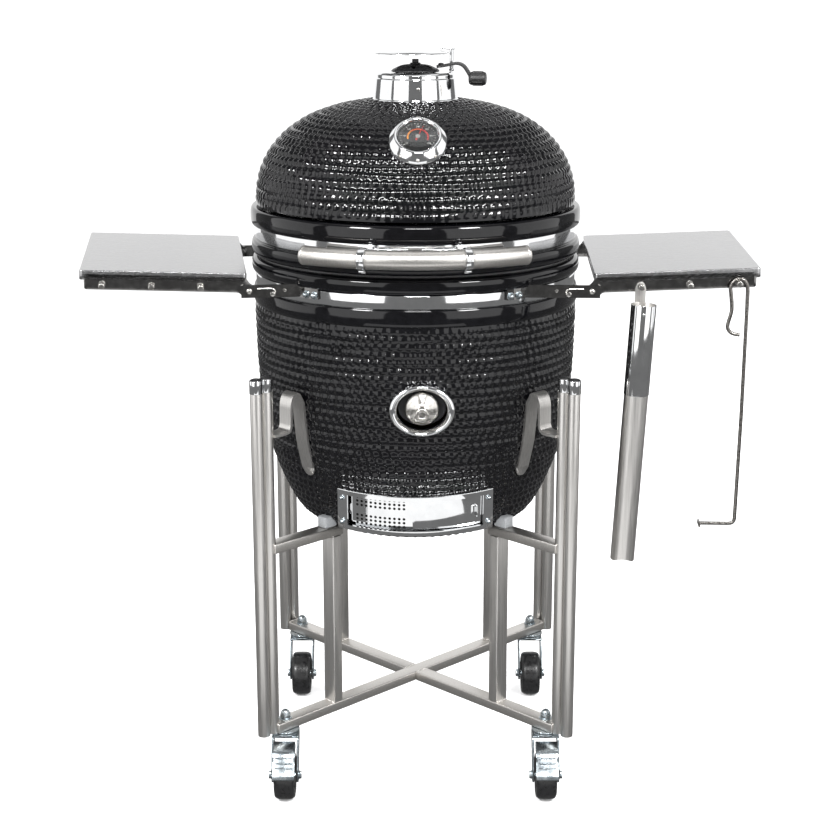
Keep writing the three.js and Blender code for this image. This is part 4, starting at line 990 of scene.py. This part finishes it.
put(door, boxPart((8, 1.4, 18), 0.5), around(reach - 5, doorIn + 2, 0))
finishPiece("draft_slider", door, "mirrorSteel", "draft_door", draftFrame, replaces=["draft_door"])
print("draft door done")


# ---- fire bowl and grates ----

def radiusOn(line, z):
    for a, b in zip(line, line[1:]):
        if (a[1] - z) * (b[1] - z) <= 0 and a[1] != b[1]:
            return a[0] + (b[0] - a[0]) * (z - a[1]) / (b[1] - a[1])
    return line[-1][0]


fire = {"wall": 24, "clearance": 7.5}
boxLow, boxHigh = spanOf("firebox")
wallLine = inward(bowlCurve, ceramic["wall"], True)
heights = [boxLow.z + 28 + (boxHigh.z - boxLow.z - 28) * k / 10 for k in range(11)]
outer = [(radiusOn(wallLine, z) - fire["clearance"], z) for z in heights]
inner = [(r - fire["wall"], max(z, boxLow.z + 32)) for r, z in outer][::-1]
loop = [(70, boxLow.z), (outer[0][0] - 50, boxLow.z)] + outer + inner + [(70, boxLow.z + 40)]
firebox = spunPart(rounded(loop, 3, 2, closed=True), 120, closed=True)
vents = curvedPlate(60, 256, -draft["openingAngle"] - 2, draft["openingAngle"] + 2, -24, 24, 0)
vents.transform(bodyToDraft)
firebox = carved(firebox, vents)
finishPiece("fire_bowl", firebox, "fireclay", "base_and_cart", replaces=["firebox"])
ringLow, ringHigh = spanOf("fire_ring")
ringOut = (ringHigh.x - ringLow.x) / 2
loop = [(ringOut - fire["wall"], ringLow.z), (ringOut, ringLow.z), (ringOut, ringHigh.z),
        (ringOut - fire["wall"], ringHigh.z)]
fireRing = carved(spunPart(rounded(loop, 3, 3, closed=True), 120, closed=True),
                  ovalCutter(port["width"] - 6, port["height"] - 6, -256, 0, port["at"]))
finishPiece("fire_collar", fireRing, "fireclay", "base_and_cart", replaces=["fire_ring"])

grates = {"wire": 3, "bars": 23, "barRadius": 2.2, "tieRadius": 2.8, "slotWide": 9}
grateLow, grateHigh = spanOf("cooking_grate")
grateR = (grateHigh.x - grateLow.x) / 2
grill = bmesh.new()
hoopR, hoopZ = grateR - grates["wire"], grateLow.z + grates["wire"]
hoop = [(math.cos(math.tau * k / 96) * hoopR, math.sin(math.tau * k / 96) * hoopR, hoopZ) for k in range(96)]
put(grill, wirePart(hoop, grates["wire"], 3, closed=True))
for k in range(grates["bars"]):
    x = (2 * k / (grates["bars"] - 1) - 1) * grateR * 0.93
    long = math.sqrt(hoopR ** 2 - x * x)
    put(grill, rodPart(grates["barRadius"], 2 * long, 0.4, steps=10),
        moved(x, 0, grateLow.z + 6.2) @ turned(90, "X"))
for way in (-1, 1):
    put(grill, rodPart(grates["tieRadius"], 2 * grateR * 0.88, 0.4, steps=10),
        moved(0, way * grateR * 0.45, hoopZ) @ turned(90, "Y"))
finishPiece("grill_grate", grill, "grateWire", "base_and_cart", replaces=["cooking_grate"])
coalLow, coalHigh = spanOf("charcoal_grate")
coalR = (coalHigh.x - coalLow.x) / 2
plate = rodPart(coalR, coalHigh.z - coalLow.z, 1.5, steps=96)
plate.transform(moved(0, 0, (coalLow.z + coalHigh.z) / 2))
slots = bmesh.new()
for k in range(-3, 4):
    across = k * coalR / 4.4
    long = 1.6 * math.sqrt(coalR * coalR - across * across)
    put(slots, boxPart((grates["slotWide"], long, 30), 3, 3), moved(across, 0, (coalLow.z + coalHigh.z) / 2))
plate = carved(plate, slots)
finishPiece("coal_grate", plate, "castIron", "base_and_cart", replaces=["charcoal_grate"])
print("fire bowl done")


# ---- cart ----

cart = {"tube": 9.5, "margin": 65, "setback": 24, "collar": 20, "barWide": 25, "barTall": 15,
        "uprightDeep": 17, "padInset": 62.3, "uprightInset": 6, "strapWide": 25, "strapThick": 4}
legReach = (rimRadius + cart["margin"]) * math.sqrt(0.5)
stemReach = legReach - cart["setback"]
padReach = (rimRadius - cart["padInset"]) * math.sqrt(0.5)
uprightReach = padReach - cart["uprightInset"]
barEnd = legReach - 0.75 * cart["tube"]
crossLow, crossHigh = spanOf("lower_cross")


def weldPart(size, at, turn):
    # a run of overlapping ripples along X
    bead = bmesh.new()
    count = max(3, round(size / 1.6))
    for k in range(count):
        ripple = bmesh.new()
        bmesh.ops.create_uvsphere(ripple, u_segments=8, v_segments=6, radius=1.3)
        put(bead, ripple, at @ turn @ moved(-size / 2 + size * (k + 0.5) / count, 0, 0))
    return bead


for name, (sx, sy) in corners.items():
    low, high = spanOf("leg_" + name)
    slip = cart["tube"] * math.sqrt(0.5)
    tubes, collars, plugs = bmesh.new(), bmesh.new(), bmesh.new()
    for way in (-1, 1):
        at = (sx * (legReach - way * slip), sy * legReach + way * slip)
        put(tubes, rodPart(cart["tube"], high.z - low.z - 3, 0.4, cart["tube"] - 1.5, 48),
            moved(*at, (low.z + high.z) / 2 - 1.5))
        put(collars, rodPart(cart["tube"] + 0.5, cart["collar"], 0.5, cart["tube"] - 1.2, 48),
            moved(*at, high.z - cart["collar"] / 2 - 2))
        cap = [(0, 3), (cart["tube"] - 3, 2.6), (cart["tube"] - 0.6, 1.2), (cart["tube"] - 0.2, 0),
               (cart["tube"] - 1.4, -6), (0, -6)]
        put(plugs, spunPart(rounded(cap, 0.8, 3), 40), moved(*at, high.z - 2.5))
        put(plugs, spunPart(rounded(cap, 0.8, 3), 40), moved(*at, low.z + 2) @ turned(180, "X"))
    centre = (sx * legReach, sy * legReach)
    put(tubes, boxPart((3, 4, high.z - low.z - 30), 0.4),
        moved(*centre, (low.z + high.z) / 2) @ turned(sx * -45))
    finishPiece("leg_tubes_" + name, tubes, "brushedTube", "base_and_cart", replaces=["leg_" + name])
    finishPiece("leg_collars_" + name, collars, "mirrorSteel", "base_and_cart")
    finishPiece("leg_plugs_" + name, plugs, "mouldedNylon", "base_and_cart")
print("legs done")


def diagonalBar(sx, sy, start, end, top, size):
    # a rectangular tube along the diagonal, start and end are measured along X
    turn = turned(45 * sx * sy)
    middle = (start + end) / 2
    place = moved(sx * middle, sy * middle, top - size[1] / 2) @ turn
    return boxPart(((end - start) * math.sqrt(2), *size), 1.6, 3), place


lower = bmesh.new()
barSize = (cart["barWide"], cart["barTall"])
put(lower, *diagonalBar(1, 1, -barEnd, barEnd, crossHigh.z, barSize))
for sx, sy in ((1, -1), (-1, 1)):
    put(lower, *diagonalBar(sx, sy, 9, barEnd, crossHigh.z, barSize))
    put(lower, weldPart(20, moved(sx * 9.2, sy * 9.2, crossHigh.z - 0.3), turned(45)))
for name, (sx, sy) in corners.items():
    edge = barEnd - 1
    put(lower, weldPart(18, moved(sx * edge, sy * edge, crossHigh.z), turned(-45 * sx * sy)))
finishPiece("cross_bars", lower, "brushedBar", "base_and_cart", replaces=["lower_cross"])

for name, (sx, sy) in corners.items():
    low, high = spanOf("cradle_" + name)
    inner = uprightReach - 10
    upperTop = radiusOn([(z, r) for r, z in bowlLine], inner * math.sqrt(2)) - 2
    stand = bmesh.new()
    put(stand, *diagonalBar(sx, sy, inner, barEnd, upperTop, barSize))
    tall = upperTop - cart["barTall"] - crossHigh.z
    upright = boxPart((cart["uprightDeep"], cart["barWide"], tall), 1.6, 3)
    turn = turned(45 * sx * sy)
    middle = (upperTop - cart["barTall"] + crossHigh.z) / 2
    post = bmesh.new()
    put(post, upright, moved(sx * uprightReach, sy * uprightReach, middle) @ turn)
    finishPiece("cradle_post_" + name, post, "brushedTube", "base_and_cart")
    edge = barEnd - 1
    put(stand, weldPart(18, moved(sx * edge, sy * edge, upperTop), turned(-45 * sx * sy)))
    for z in (crossHigh.z + 0.5, upperTop - cart["barTall"] - 0.5):
        for way in (-1, 1):
            shift = way * (cart["uprightDeep"] / 2 + 0.4) * math.sqrt(0.5)
            put(stand, weldPart(20, moved(sx * (uprightReach + shift), sy * (uprightReach + shift), z),
                                turned(-45 * sx * sy)))
    finishPiece("cradle_frame_" + name, stand, "brushedBar", "base_and_cart", replaces=["cradle_" + name])
    pad = bmesh.new()
    put(pad, boxPart((24, 19, 18), 2, 3), moved(sx * padReach, sy * padReach, upperTop + 9) @ turn)
    finishPiece("cradle_pad_" + name, pad, "padRubber", "base_and_cart")
    nut = bmesh.new()
    put(nut, rodPart(10, 1.6, 0.4), moved(sx * stemReach, sy * stemReach, crossHigh.z + 0.8))
    put(nut, hexPart(16, 7, dome=True), moved(sx * stemReach, sy * stemReach, crossHigh.z + 5))
    finishPiece("stem_nut_" + name, nut, "zincPlate", "base_and_cart")

strap = {"top": 242, "tab": 184, "foot": 107, "stand": 26}


def strapRadius(z):
    # middle of a strap that lies on the bowl at this height
    return radiusOn(bowlLine, z) + cart["strapThick"] / 2 + 2.2


for name, (sx, sy) in corners.items():
    topZ, tabZ, footZ = (bottom + strap[k] for k in ("top", "tab", "foot"))
    face = legReach * math.sqrt(2) - 2.2 * cart["tube"]
    outer = strapRadius(topZ - 20) + strap["stand"] - 1.2
    corners2d = [(face + 6, tabZ), (outer + 1, tabZ), (outer, topZ - 10), (outer - 11, topZ + 2),
                 (outer - 22, topZ - 8)]
    line = rounded(corners2d, 12, 6)[:-1]
    layZ = topZ - 18
    heights = [layZ - (layZ - footZ) * k / 8 for k in range(9)]
    line += [Vector((strapRadius(z), z)) for z in heights]
    hook = bmesh.new()
    halfWide = cart["strapWide"] / 2
    blade = platePart(barOutline(line, cart["strapThick"]), -halfWide, halfWide, 0)
    tip = Vector((line[-1].x, line[-1].y, 0))
    ends = [e for e in blade.edges if abs(e.verts[0].co.z - e.verts[1].co.z) < 0.1
            and all((Vector((v.co.x, v.co.y, 0)) - tip).length < cart["strapThick"] for v in e.verts)
            and e.calc_length() < cart["strapThick"] + 1 and e.calc_length() > cart["strapThick"] - 1]
    bmesh.ops.bevel(blade, geom=ends, offset=halfWide - 1, segments=8, affect="EDGES", profile=0.5,
                    material=-1)
    put(hook, blade, turned(math.degrees(math.atan2(sy, sx))) @ facingFront)
    finishPiece("strap_hook_" + name, hook, "brushedTube", "base_and_cart", replaces=["strap_" + name])
print("cradles done")


# ---- casters ----

caster = {"wide": 32, "trail": 26, "plate": 22, "sheet": 3}
for name, (sx, sy) in corners.items():
    stem = Vector(joints["caster_swivel_" + name]["pos_m"])
    hub = Vector(joints["wheel_spin_" + name]["pos_m"])
    here = frameAt((stem.x, stem.y, 0))
    wheelR = hub.z / mm
    forkTop = crossLow.z - 0.3
    crown = forkTop - 9
    inside = caster["wide"] / 2 + 2
    fork = bmesh.new()
    race = [(0, forkTop), (caster["plate"], forkTop), (caster["plate"], forkTop - 3),
            (caster["plate"] - 2, forkTop - 4.5), (caster["plate"] - 1, forkTop - 6.5),
            (caster["plate"] - 3, forkTop - 9), (0, forkTop - 9)]
    put(fork, spunPart(rounded(race, 1.2, 3), 56))
    put(fork, boxPart((2 * (inside + caster["sheet"]), 34, 3.6), 1.4, 3), moved(0, 0, crown - 0.6))
    cheek = [(-caster["trail"] - 9, wheelR - 7), (-caster["trail"] - 6, wheelR - 11),
             (-caster["trail"] + 6, wheelR - 11), (-caster["trail"] + 10, wheelR - 5), (17, crown - 6),
             (17, crown), (-17, crown), (-caster["trail"] - 11, wheelR + 14)]
    for x in (-inside - caster["sheet"], inside):
        put(fork, platePart(rounded(cheek, 4, 3, closed=True), x, x + caster["sheet"], 0.5), facingSide)
    finishPiece("caster_yoke_" + name, fork, "zincPlate", "caster_" + name, here,
                replaces=["caster_fork_" + name])
    bolt = bmesh.new()
    for side in (-1, 1):
        tip = side * (inside + caster["sheet"])
        put(bolt, rodPart(7, 1.2, 0.3), moved(tip + side * 0.6, -caster["trail"], wheelR) @ turned(90, "Y"))
        put(bolt, hexPart(11, 4), moved(tip + side * 2.6, -caster["trail"], wheelR) @ turned(90 * side, "Y"))
    put(bolt, rodPart(4, 2 * inside, 0.3), moved(0, -caster["trail"], wheelR) @ turned(90, "Y"))
    finishPiece("caster_axle_" + name, bolt, "zincPlate", "caster_" + name, here)
    wheelFrame = frameAt(hub, (1, 0, 0), (0, 1, 0))
    halfWide = caster["wide"] / 2
    tread = bmesh.new()
    side = [(wheelR - 13, -halfWide + 4), (wheelR - 10, -halfWide + 0.5), (wheelR - 4, -halfWide),
            (wheelR - 0.8, -halfWide + 4), (wheelR, -halfWide + 9), (wheelR, halfWide - 9),
            (wheelR - 0.8, halfWide - 4), (wheelR - 4, halfWide), (wheelR - 10, halfWide - 0.5),
            (wheelR - 13, halfWide - 4)]
    put(tread, spunPart(rounded(side, 3, 4, closed=True), 96, closed=True))
    finishPiece("wheel_tread_" + name, tread, "wheelTread", "wheel_" + name, wheelFrame,
                replaces=["caster_wheel_" + name])
    core = bmesh.new()
    side = [(4.4, -halfWide + 2), (9, -halfWide + 2), (10, -halfWide + 5), (wheelR - 14, -halfWide + 6),
            (wheelR - 11, -halfWide + 3.5), (wheelR - 11, halfWide - 3.5), (wheelR - 14, halfWide - 6),
            (10, halfWide - 5), (9, halfWide - 2), (4.4, halfWide - 2)]
    put(core, spunPart(rounded(side, 0.8, 3, closed=True), 72, closed=True))
    for k in range(8):
        for z in (-halfWide + 5.4, halfWide - 5.4):
            put(core, boxPart((wheelR - 23, 2.2, 2.6), 0.6),
                turned(45 * k) @ moved(10 + (wheelR - 23) / 2, 0, z))
    finishPiece("wheel_core_" + name, core, "mouldedNylon", "wheel_" + name, wheelFrame)
    if sy > 0:
        continue

    def overWheel(degrees, clear):
        turn = math.radians(degrees)
        return (-caster["trail"] - (wheelR + clear) * math.sin(turn),
                wheelR + (wheelR + clear) * math.cos(turn))

    pedal = bmesh.new()
    line = rounded([(-24, crown - 5), overWheel(23, 13.8), overWheel(67, 4.2), overWheel(75, 8.4)], 8, 4)
    halfPedal = (caster["wide"] + 2) / 2
    put(pedal, platePart(barOutline(line, 2.6), -halfPedal, halfPedal, 0.5), facingSide)
    for k in range(4):
        spot = overWheel(34 + 9 * k, 11.2 - 2.3 * k)
        put(pedal, rodPart(0.9, 2 * halfPedal - 6, 0.3, steps=10), moved(0, *spot) @ turned(90, "Y"))
    for x in (-halfPedal + 0.9, halfPedal - 0.9):
        lip = [(-24, crown - 7), (-24, crown - 13), overWheel(30, 5), overWheel(40, 4.5), overWheel(40, 10),
               overWheel(23, 12.5)]
        put(pedal, platePart(lip, x - 0.9, x + 0.9, 0.2), facingSide)
    finishPiece("brake_tread_" + name, pedal, "zincPlate", "brake_" + name, here,
                replaces=["brake_pedal_" + name])
print("casters done")


# ---- folding shelves ----

shelf = {"wide": 242, "deep": 370, "rise": 26, "lip": 14, "sheet": 2, "tilt": 2.5, "near": 3, "rail": 4,
         "pegs": 3, "pegMargin": 29, "pegLength": 22, "peg": 3, "corner": 5}
pegPitch = (shelf["wide"] - shelf["pegMargin"]) / shelf["pegs"]
slope = math.tan(math.radians(shelf["tilt"]))
shelfFrames = {}
for side, word in ((-1, "left"), (1, "right")):
    fold = joints[word + "_shelf_fold"]
    along = Vector(fold["axis"]) * side
    shelfFrames[word] = here = frameAt(fold["pos_m"], (0, 0, 1), along.cross(Vector((0, 0, 1))))
    middle = side * (shelf["near"] + shelf["wide"] / 2)
    height = shelf["rise"] + slope * abs(middle)
    lean = moved(middle, 0, height) @ turned(-side * shelf["tilt"], "Y")
    w, d = shelf["wide"] / 2, shelf["deep"] / 2
    outline = rounded([(-w, -d), (w, -d), (w, d), (-w, d)], shelf["corner"], 5, closed=True)
    tray = platePart(outline, -shelf["lip"], 0, 1.4)
    w, d = w - shelf["sheet"], d - shelf["sheet"]
    outline = rounded([(-w, -d), (w, -d), (w, d), (-w, d)], shelf["corner"] - 2, 5, closed=True)
    tray = carved(tray, platePart(outline, -shelf["lip"] - 5, -shelf["sheet"], 0))
    top = bmesh.new()
    put(top, tray, lean)
    finishPiece("shelf_tray_" + word, top, "satinSheet", word + "_shelf", here, replaces=["shelf_" + word])
    rails, pegs, rivets = bmesh.new(), bmesh.new(), bmesh.new()
    far = shelf["near"] + shelf["wide"] - 6
    line = [(-9, -9), (9, -9), (15, -2), (far, -2 + slope * far), (far, shelf["rise"] - 5 + slope * far),
            (shelf["near"] + 3, shelf["rise"] - 5), (-3, 9), (-9, 9)]
    line = rounded([(side * x, z) for x, z in line], 4, 4, closed=True)
    d = shelf["deep"] / 2
    for low in (-d, d - shelf["rail"]):
        put(rails, platePart(line, -low - shelf["rail"], -low, 0.5), facingFront)
    for x in (0.33, 0.72):
        put(rails, boxPart((18, shelf["deep"] - 4, 2), 0.5),
            moved(side * shelf["wide"] * x, 0, shelf["rise"] - shelf["lip"] + slope * shelf["wide"] * x))
    for k in range(1, shelf["pegs"] + 1):
        at = (side * k * pegPitch, -d, 6 + slope * k * pegPitch)
        put(pegs, rodPart(shelf["peg"], shelf["pegLength"], 0.6, steps=24),
            moved(at[0], -d - shelf["pegLength"] / 2 + 1, at[2]) @ turned(90, "X"))
        put(pegs, rodPart(shelf["peg"] + 1.5, 2.5, 0.9, steps=24),
            moved(at[0], -d - shelf["pegLength"] + 2, at[2]) @ turned(90, "X"))
        put(pegs, rodPart(shelf["peg"] + 2, 1.4, 0.4, steps=24),
            moved(at[0], -d - 0.7, at[2]) @ turned(90, "X"))
    for way in (-1, 1):
        edge = way * (d + 3.6)
        put(rivets, spunPart([(0, 2.6), (2.4, 2.2), (4.2, 1.2), (4.8, 0), (0, 0)], 28),
            moved(0, edge, 0) @ turned(-90 * way, "X"))
        put(rivets, spunPart([(0, 1.8), (1.8, 1.4), (2.8, 0), (0, 0)], 24),
            moved(side * 10, way * (d + 0.1), 8) @ turned(-90 * way, "X"))
    # the rails take the bar finish whose dark base colour is a painted reflection of a dark room
    finishPiece("shelf_rails_" + word, rails, "polishedBarPaintedDark", word + "_shelf", here)
    finishPiece("shelf_pegs_" + word, pegs, "grateWire", word + "_shelf", here)
    finishPiece("shelf_rivets_" + word, rivets, "grateWire", word + "_shelf", here)
    for way, place in ((-1, "front"), (1, "rear")):
        node = frame["nodes"]["shelf_bracket_%s_%s" % (word, place)]
        # the brackets take the same bar finish, its base colour painted dark as a reflection of a dark room
        node.data.materials.clear()
        node.data.materials.append(finishes["polishedBarPaintedDark"])
        seat = bandRadius["base_band"] + 3.4
        local = bodyFrame.inverted() @ here
        line = way * (d + 1.8)
        # where the bracket meets the band: along its line in half millimetres, the place
        # that is nearest to the seat's distance from the axis
        tries = [local @ Vector((-side * halves / 2, line, 0)) for halves in range(400)]
        contact = min(tries, key=lambda point: abs(point.xy.length - seat))
        turn = math.atan2(contact.y, contact.x)
        bolts = bmesh.new()
        bandMid = (spanOf("base_band")[0].z + spanOf("base_band")[1].z) / 2
        for share in (0.07, 0.13):
            degrees = math.degrees(turn + side * way * share) + 90
            put(bolts, hexPart(9, 3.4, dome=True), around(degrees, seat + 1.2, bandMid + 3) @ outFront)
            put(bolts, rodPart(6, 1, 0.3, steps=24), around(degrees, seat + 0.3, bandMid + 3) @ outFront)
        finishPiece("bracket_bolts_%s_%s" % (word, place), bolts, "zincPlate", "base_and_cart")
        catch = bmesh.new()
        out = line + way * 1.6
        hook = [(-side * 12, 4), (-side * 34, 4), (-side * 38, 1), (-side * 38, -4), (-side * 34, -6)]
        put(catch, wirePart([(x, out, z) for x, z in rounded(hook, 3, 3)], 1.1, 2))
        put(catch, hexPart(7, 3), moved(-side * 34, out + way, -4) @ turned(90, "X"))
        put(catch, spunPart([(0, 2), (2.2, 1.5), (3.2, 0), (0, 0)], 24),
            moved(-side * 52, out - way * 0.2, 1) @ turned(-90 * way, "X"))
        finishPiece("bracket_catch_%s_%s" % (word, place), catch, "grateWire", "base_and_cart", here)
print("shelves done")


# ---- hanging tools ----

scoop = {"radius": 18, "wall": 1.6, "handle": 135, "long": 392, "lean": 3, "top": -24, "tabAt": -3.5}


def onPeg(joint, lean):
    # the frame of a tool that hangs from a peg of the right shelf
    peg = Matrix.Translation(joints[joint]["pos_m"]) @ shelfFrames["right"].to_3x3().to_4x4()
    return peg @ turned(lean, "Y")


axis = (5, scoop["tabAt"] - scoop["radius"] + 1.5)
middle = scoop["top"] - scoop["long"] / 2
pipe = spunPart(rounded([(scoop["radius"] - scoop["wall"], -scoop["long"] / 2),
                         (scoop["radius"], -scoop["long"] / 2), (scoop["radius"], scoop["long"] / 2),
                         (scoop["radius"] - scoop["wall"], scoop["long"] / 2)], 0.5, 2, closed=True), 64,
                closed=True)
pipe.transform(moved(*axis, middle))
opening = boxPart((60, 60, scoop["long"]), 0)
opening.transform(moved(axis[0], axis[1] - 28, scoop["top"] - scoop["handle"] - scoop["long"] / 2))
mouth = rodPart(26, 80, 0)
mouth.transform(moved(axis[0], axis[1] + 8, scoop["top"] - scoop["long"] - 22) @ turned(90, "X"))
put(opening, mouth, keepNormals=True)
trough = carved(pipe, opening, "EXACT")
tab = rounded([(-8, -4), (-5, 4), (0, 7), (5, 4), (8, -4), (8, -44), (-6, -44)], 3, 3, closed=True)
holes = rodPart(4.8, 20, 0, steps=24)
holes.transform(moved(0, 0, -1.2) @ turned(90, "X"))
hanger = platePart(tab, -scoop["tabAt"] - 1, -scoop["tabAt"] + 1, 0.3)
hanger.transform(facingFront)
put(trough, carved(hanger, holes, "EXACT"))
finishPiece("scoop_trough", trough, "brushedTube", "scoop", onPeg("scoop_swing", scoop["lean"]),
            replaces=["wood_chip_scoop"])
sleeve = bmesh.new()
put(sleeve, rodPart(scoop["radius"] + 0.7, scoop["handle"], 0.6, scoop["radius"] + 0.05, 64),
    moved(*axis, scoop["top"] - scoop["handle"] / 2))
put(sleeve, screwPart(2.4, 1.4), moved(axis[0], axis[1] - scoop["radius"] - 0.6,
                                       scoop["top"] - 12) @ outFront)
finishPiece("scoop_sleeve", sleeve, "mirrorSteel", "scoop", onPeg("scoop_swing", scoop["lean"]))

rake = {"rod": 2.8, "crest": 6.1, "y": -8}
hook = [(4, -77), (-8, -74), (-14, -64), (-9, -40), (-11, -16), (-12, -6), (-7, rake["crest"] - 3),
        (0, rake["crest"]), (8, rake["crest"] - 2.5), (12.5, -6), (13, -24), (13, -40)]
bend = smoothLine([(x, z) for x, z in hook], 6)
shaft = rounded([(13, -44), (12, -200), (9, -367.5), (-44, -367.5)], 9, 6)
rod = bmesh.new()
put(rod, wirePart([(p.x, rake["y"], p.y) for p in bend + shaft], rake["rod"], 4))
put(rod, boxPart((3, 22, 7), 0.8), moved(-44, rake["y"], -367.5))
finishPiece("rake_rod", rod, "darkRod", "rake", onPeg("rake_swing", 0), replaces=["ash_rake"])
print("tools done")


# ---- stage, light and camera ----

stageLook = {"floor": "fbfbfb", "room": 0.2, "lens": 75.66, "pitch": 75.338,
             "cameraAt": (0.0142, -2.7491, 1.2688)}
tree, shader, place = newFinish("paperFloor", {"IOR": 1.4})
varied(tree, shader, place, (linear(stageLook["floor"]), linear("f8f8f9")), (0.85, 0.95), 0.3)
floor = bmesh.new()
bmesh.ops.create_grid(floor, x_segments=1, y_segments=1, size=9)
floorMesh = bpy.data.meshes.new("floor")
floor.to_mesh(floorMesh)
floor.free()
floorMesh.materials.append(finishes["paperFloor"])
floorPiece = bpy.data.objects.new("floor", floorMesh)
floorPiece.location.z = cadLow.z - 0.0005
bpy.context.scene.collection.objects.link(floorPiece)
floorPiece.visible_glossy = False

world = bpy.data.worlds.new("studio")
bpy.context.scene.world = world
world.use_nodes = True
tree = world.node_tree
room = tree.nodes["Background"]
room.inputs["Color"].default_value = grey(stageLook["room"])
sweep = addNode(tree, "ShaderNodeBackground", {"Color": grey(1.0), "Strength": 1.2}, {})
ray = addNode(tree, "ShaderNodeLightPath", {}, {})
either = addNode(tree, "ShaderNodeMixShader", {}, {0: ray.outputs["Is Glossy Ray"], 1: sweep.outputs[0],
    2: room.outputs[0]})
tree.links.new(either.outputs[0], tree.nodes["World Output"].inputs["Surface"])
bpy.context.scene.view_settings.view_transform = "Standard"

lamps = {  # where, width and height in metres, brightness of its face
    "panel left": ((-2.2, -2.6, 1.4), (2.6, 2.8), 1.6),
    "panel right": ((2.2, -2.6, 1.4), (2.6, 2.8), 1.6),
    "wing left": ((-3.2, 0.1, 1.4), (2.6, 2.8), 1.2),
    "wing right": ((3.2, 0.1, 1.4), (2.6, 2.8), 1.2),
    "overhead": ((0.0, 0.3, 3.3), (2.6, 1.6), 1.0),
    "backdrop": ((0.0, 3.4, 1.6), (6.0, 3.0), 1.0),
    "low card": ((0.0, -1.0, 0.05), (1.4, 0.5), 1.1),
    "strip": ((0.1, -2.7, 2.9), (0.9, 0.4), 45),
    "spot left": ((-1.8, -2.2, 2.6), (0.7, 0.7), 60),
    "spot right": ((1.8, -2.2, 2.6), (0.7, 0.7), 60),
}
middle = Vector((axisX * mm, axisY * mm, 0.6))
for lampName, (at, (wide, tall), face) in lamps.items():
    lamp = bpy.data.lights.new(lampName, "AREA")
    lamp.shape, lamp.size, lamp.size_y = "RECTANGLE", wide, tall
    lamp.energy = face * math.pi * wide * tall
    holder = bpy.data.objects.new(lampName, lamp)
    holder.location = at
    holder.rotation_euler = (middle - Vector(at)).to_track_quat("-Z", "Y").to_euler()
    holder.visible_camera = False
    bpy.context.scene.collection.objects.link(holder)

camera = bpy.data.cameras.new("camera")
camera.lens = stageLook["lens"]
cameraHolder = bpy.data.objects.new("camera", camera)
cameraHolder.location = stageLook["cameraAt"]
cameraHolder.rotation_euler = (math.radians(stageLook["pitch"]), 0, 0)
bpy.context.scene.collection.objects.link(cameraHolder)
bpy.context.scene.camera = cameraHolder
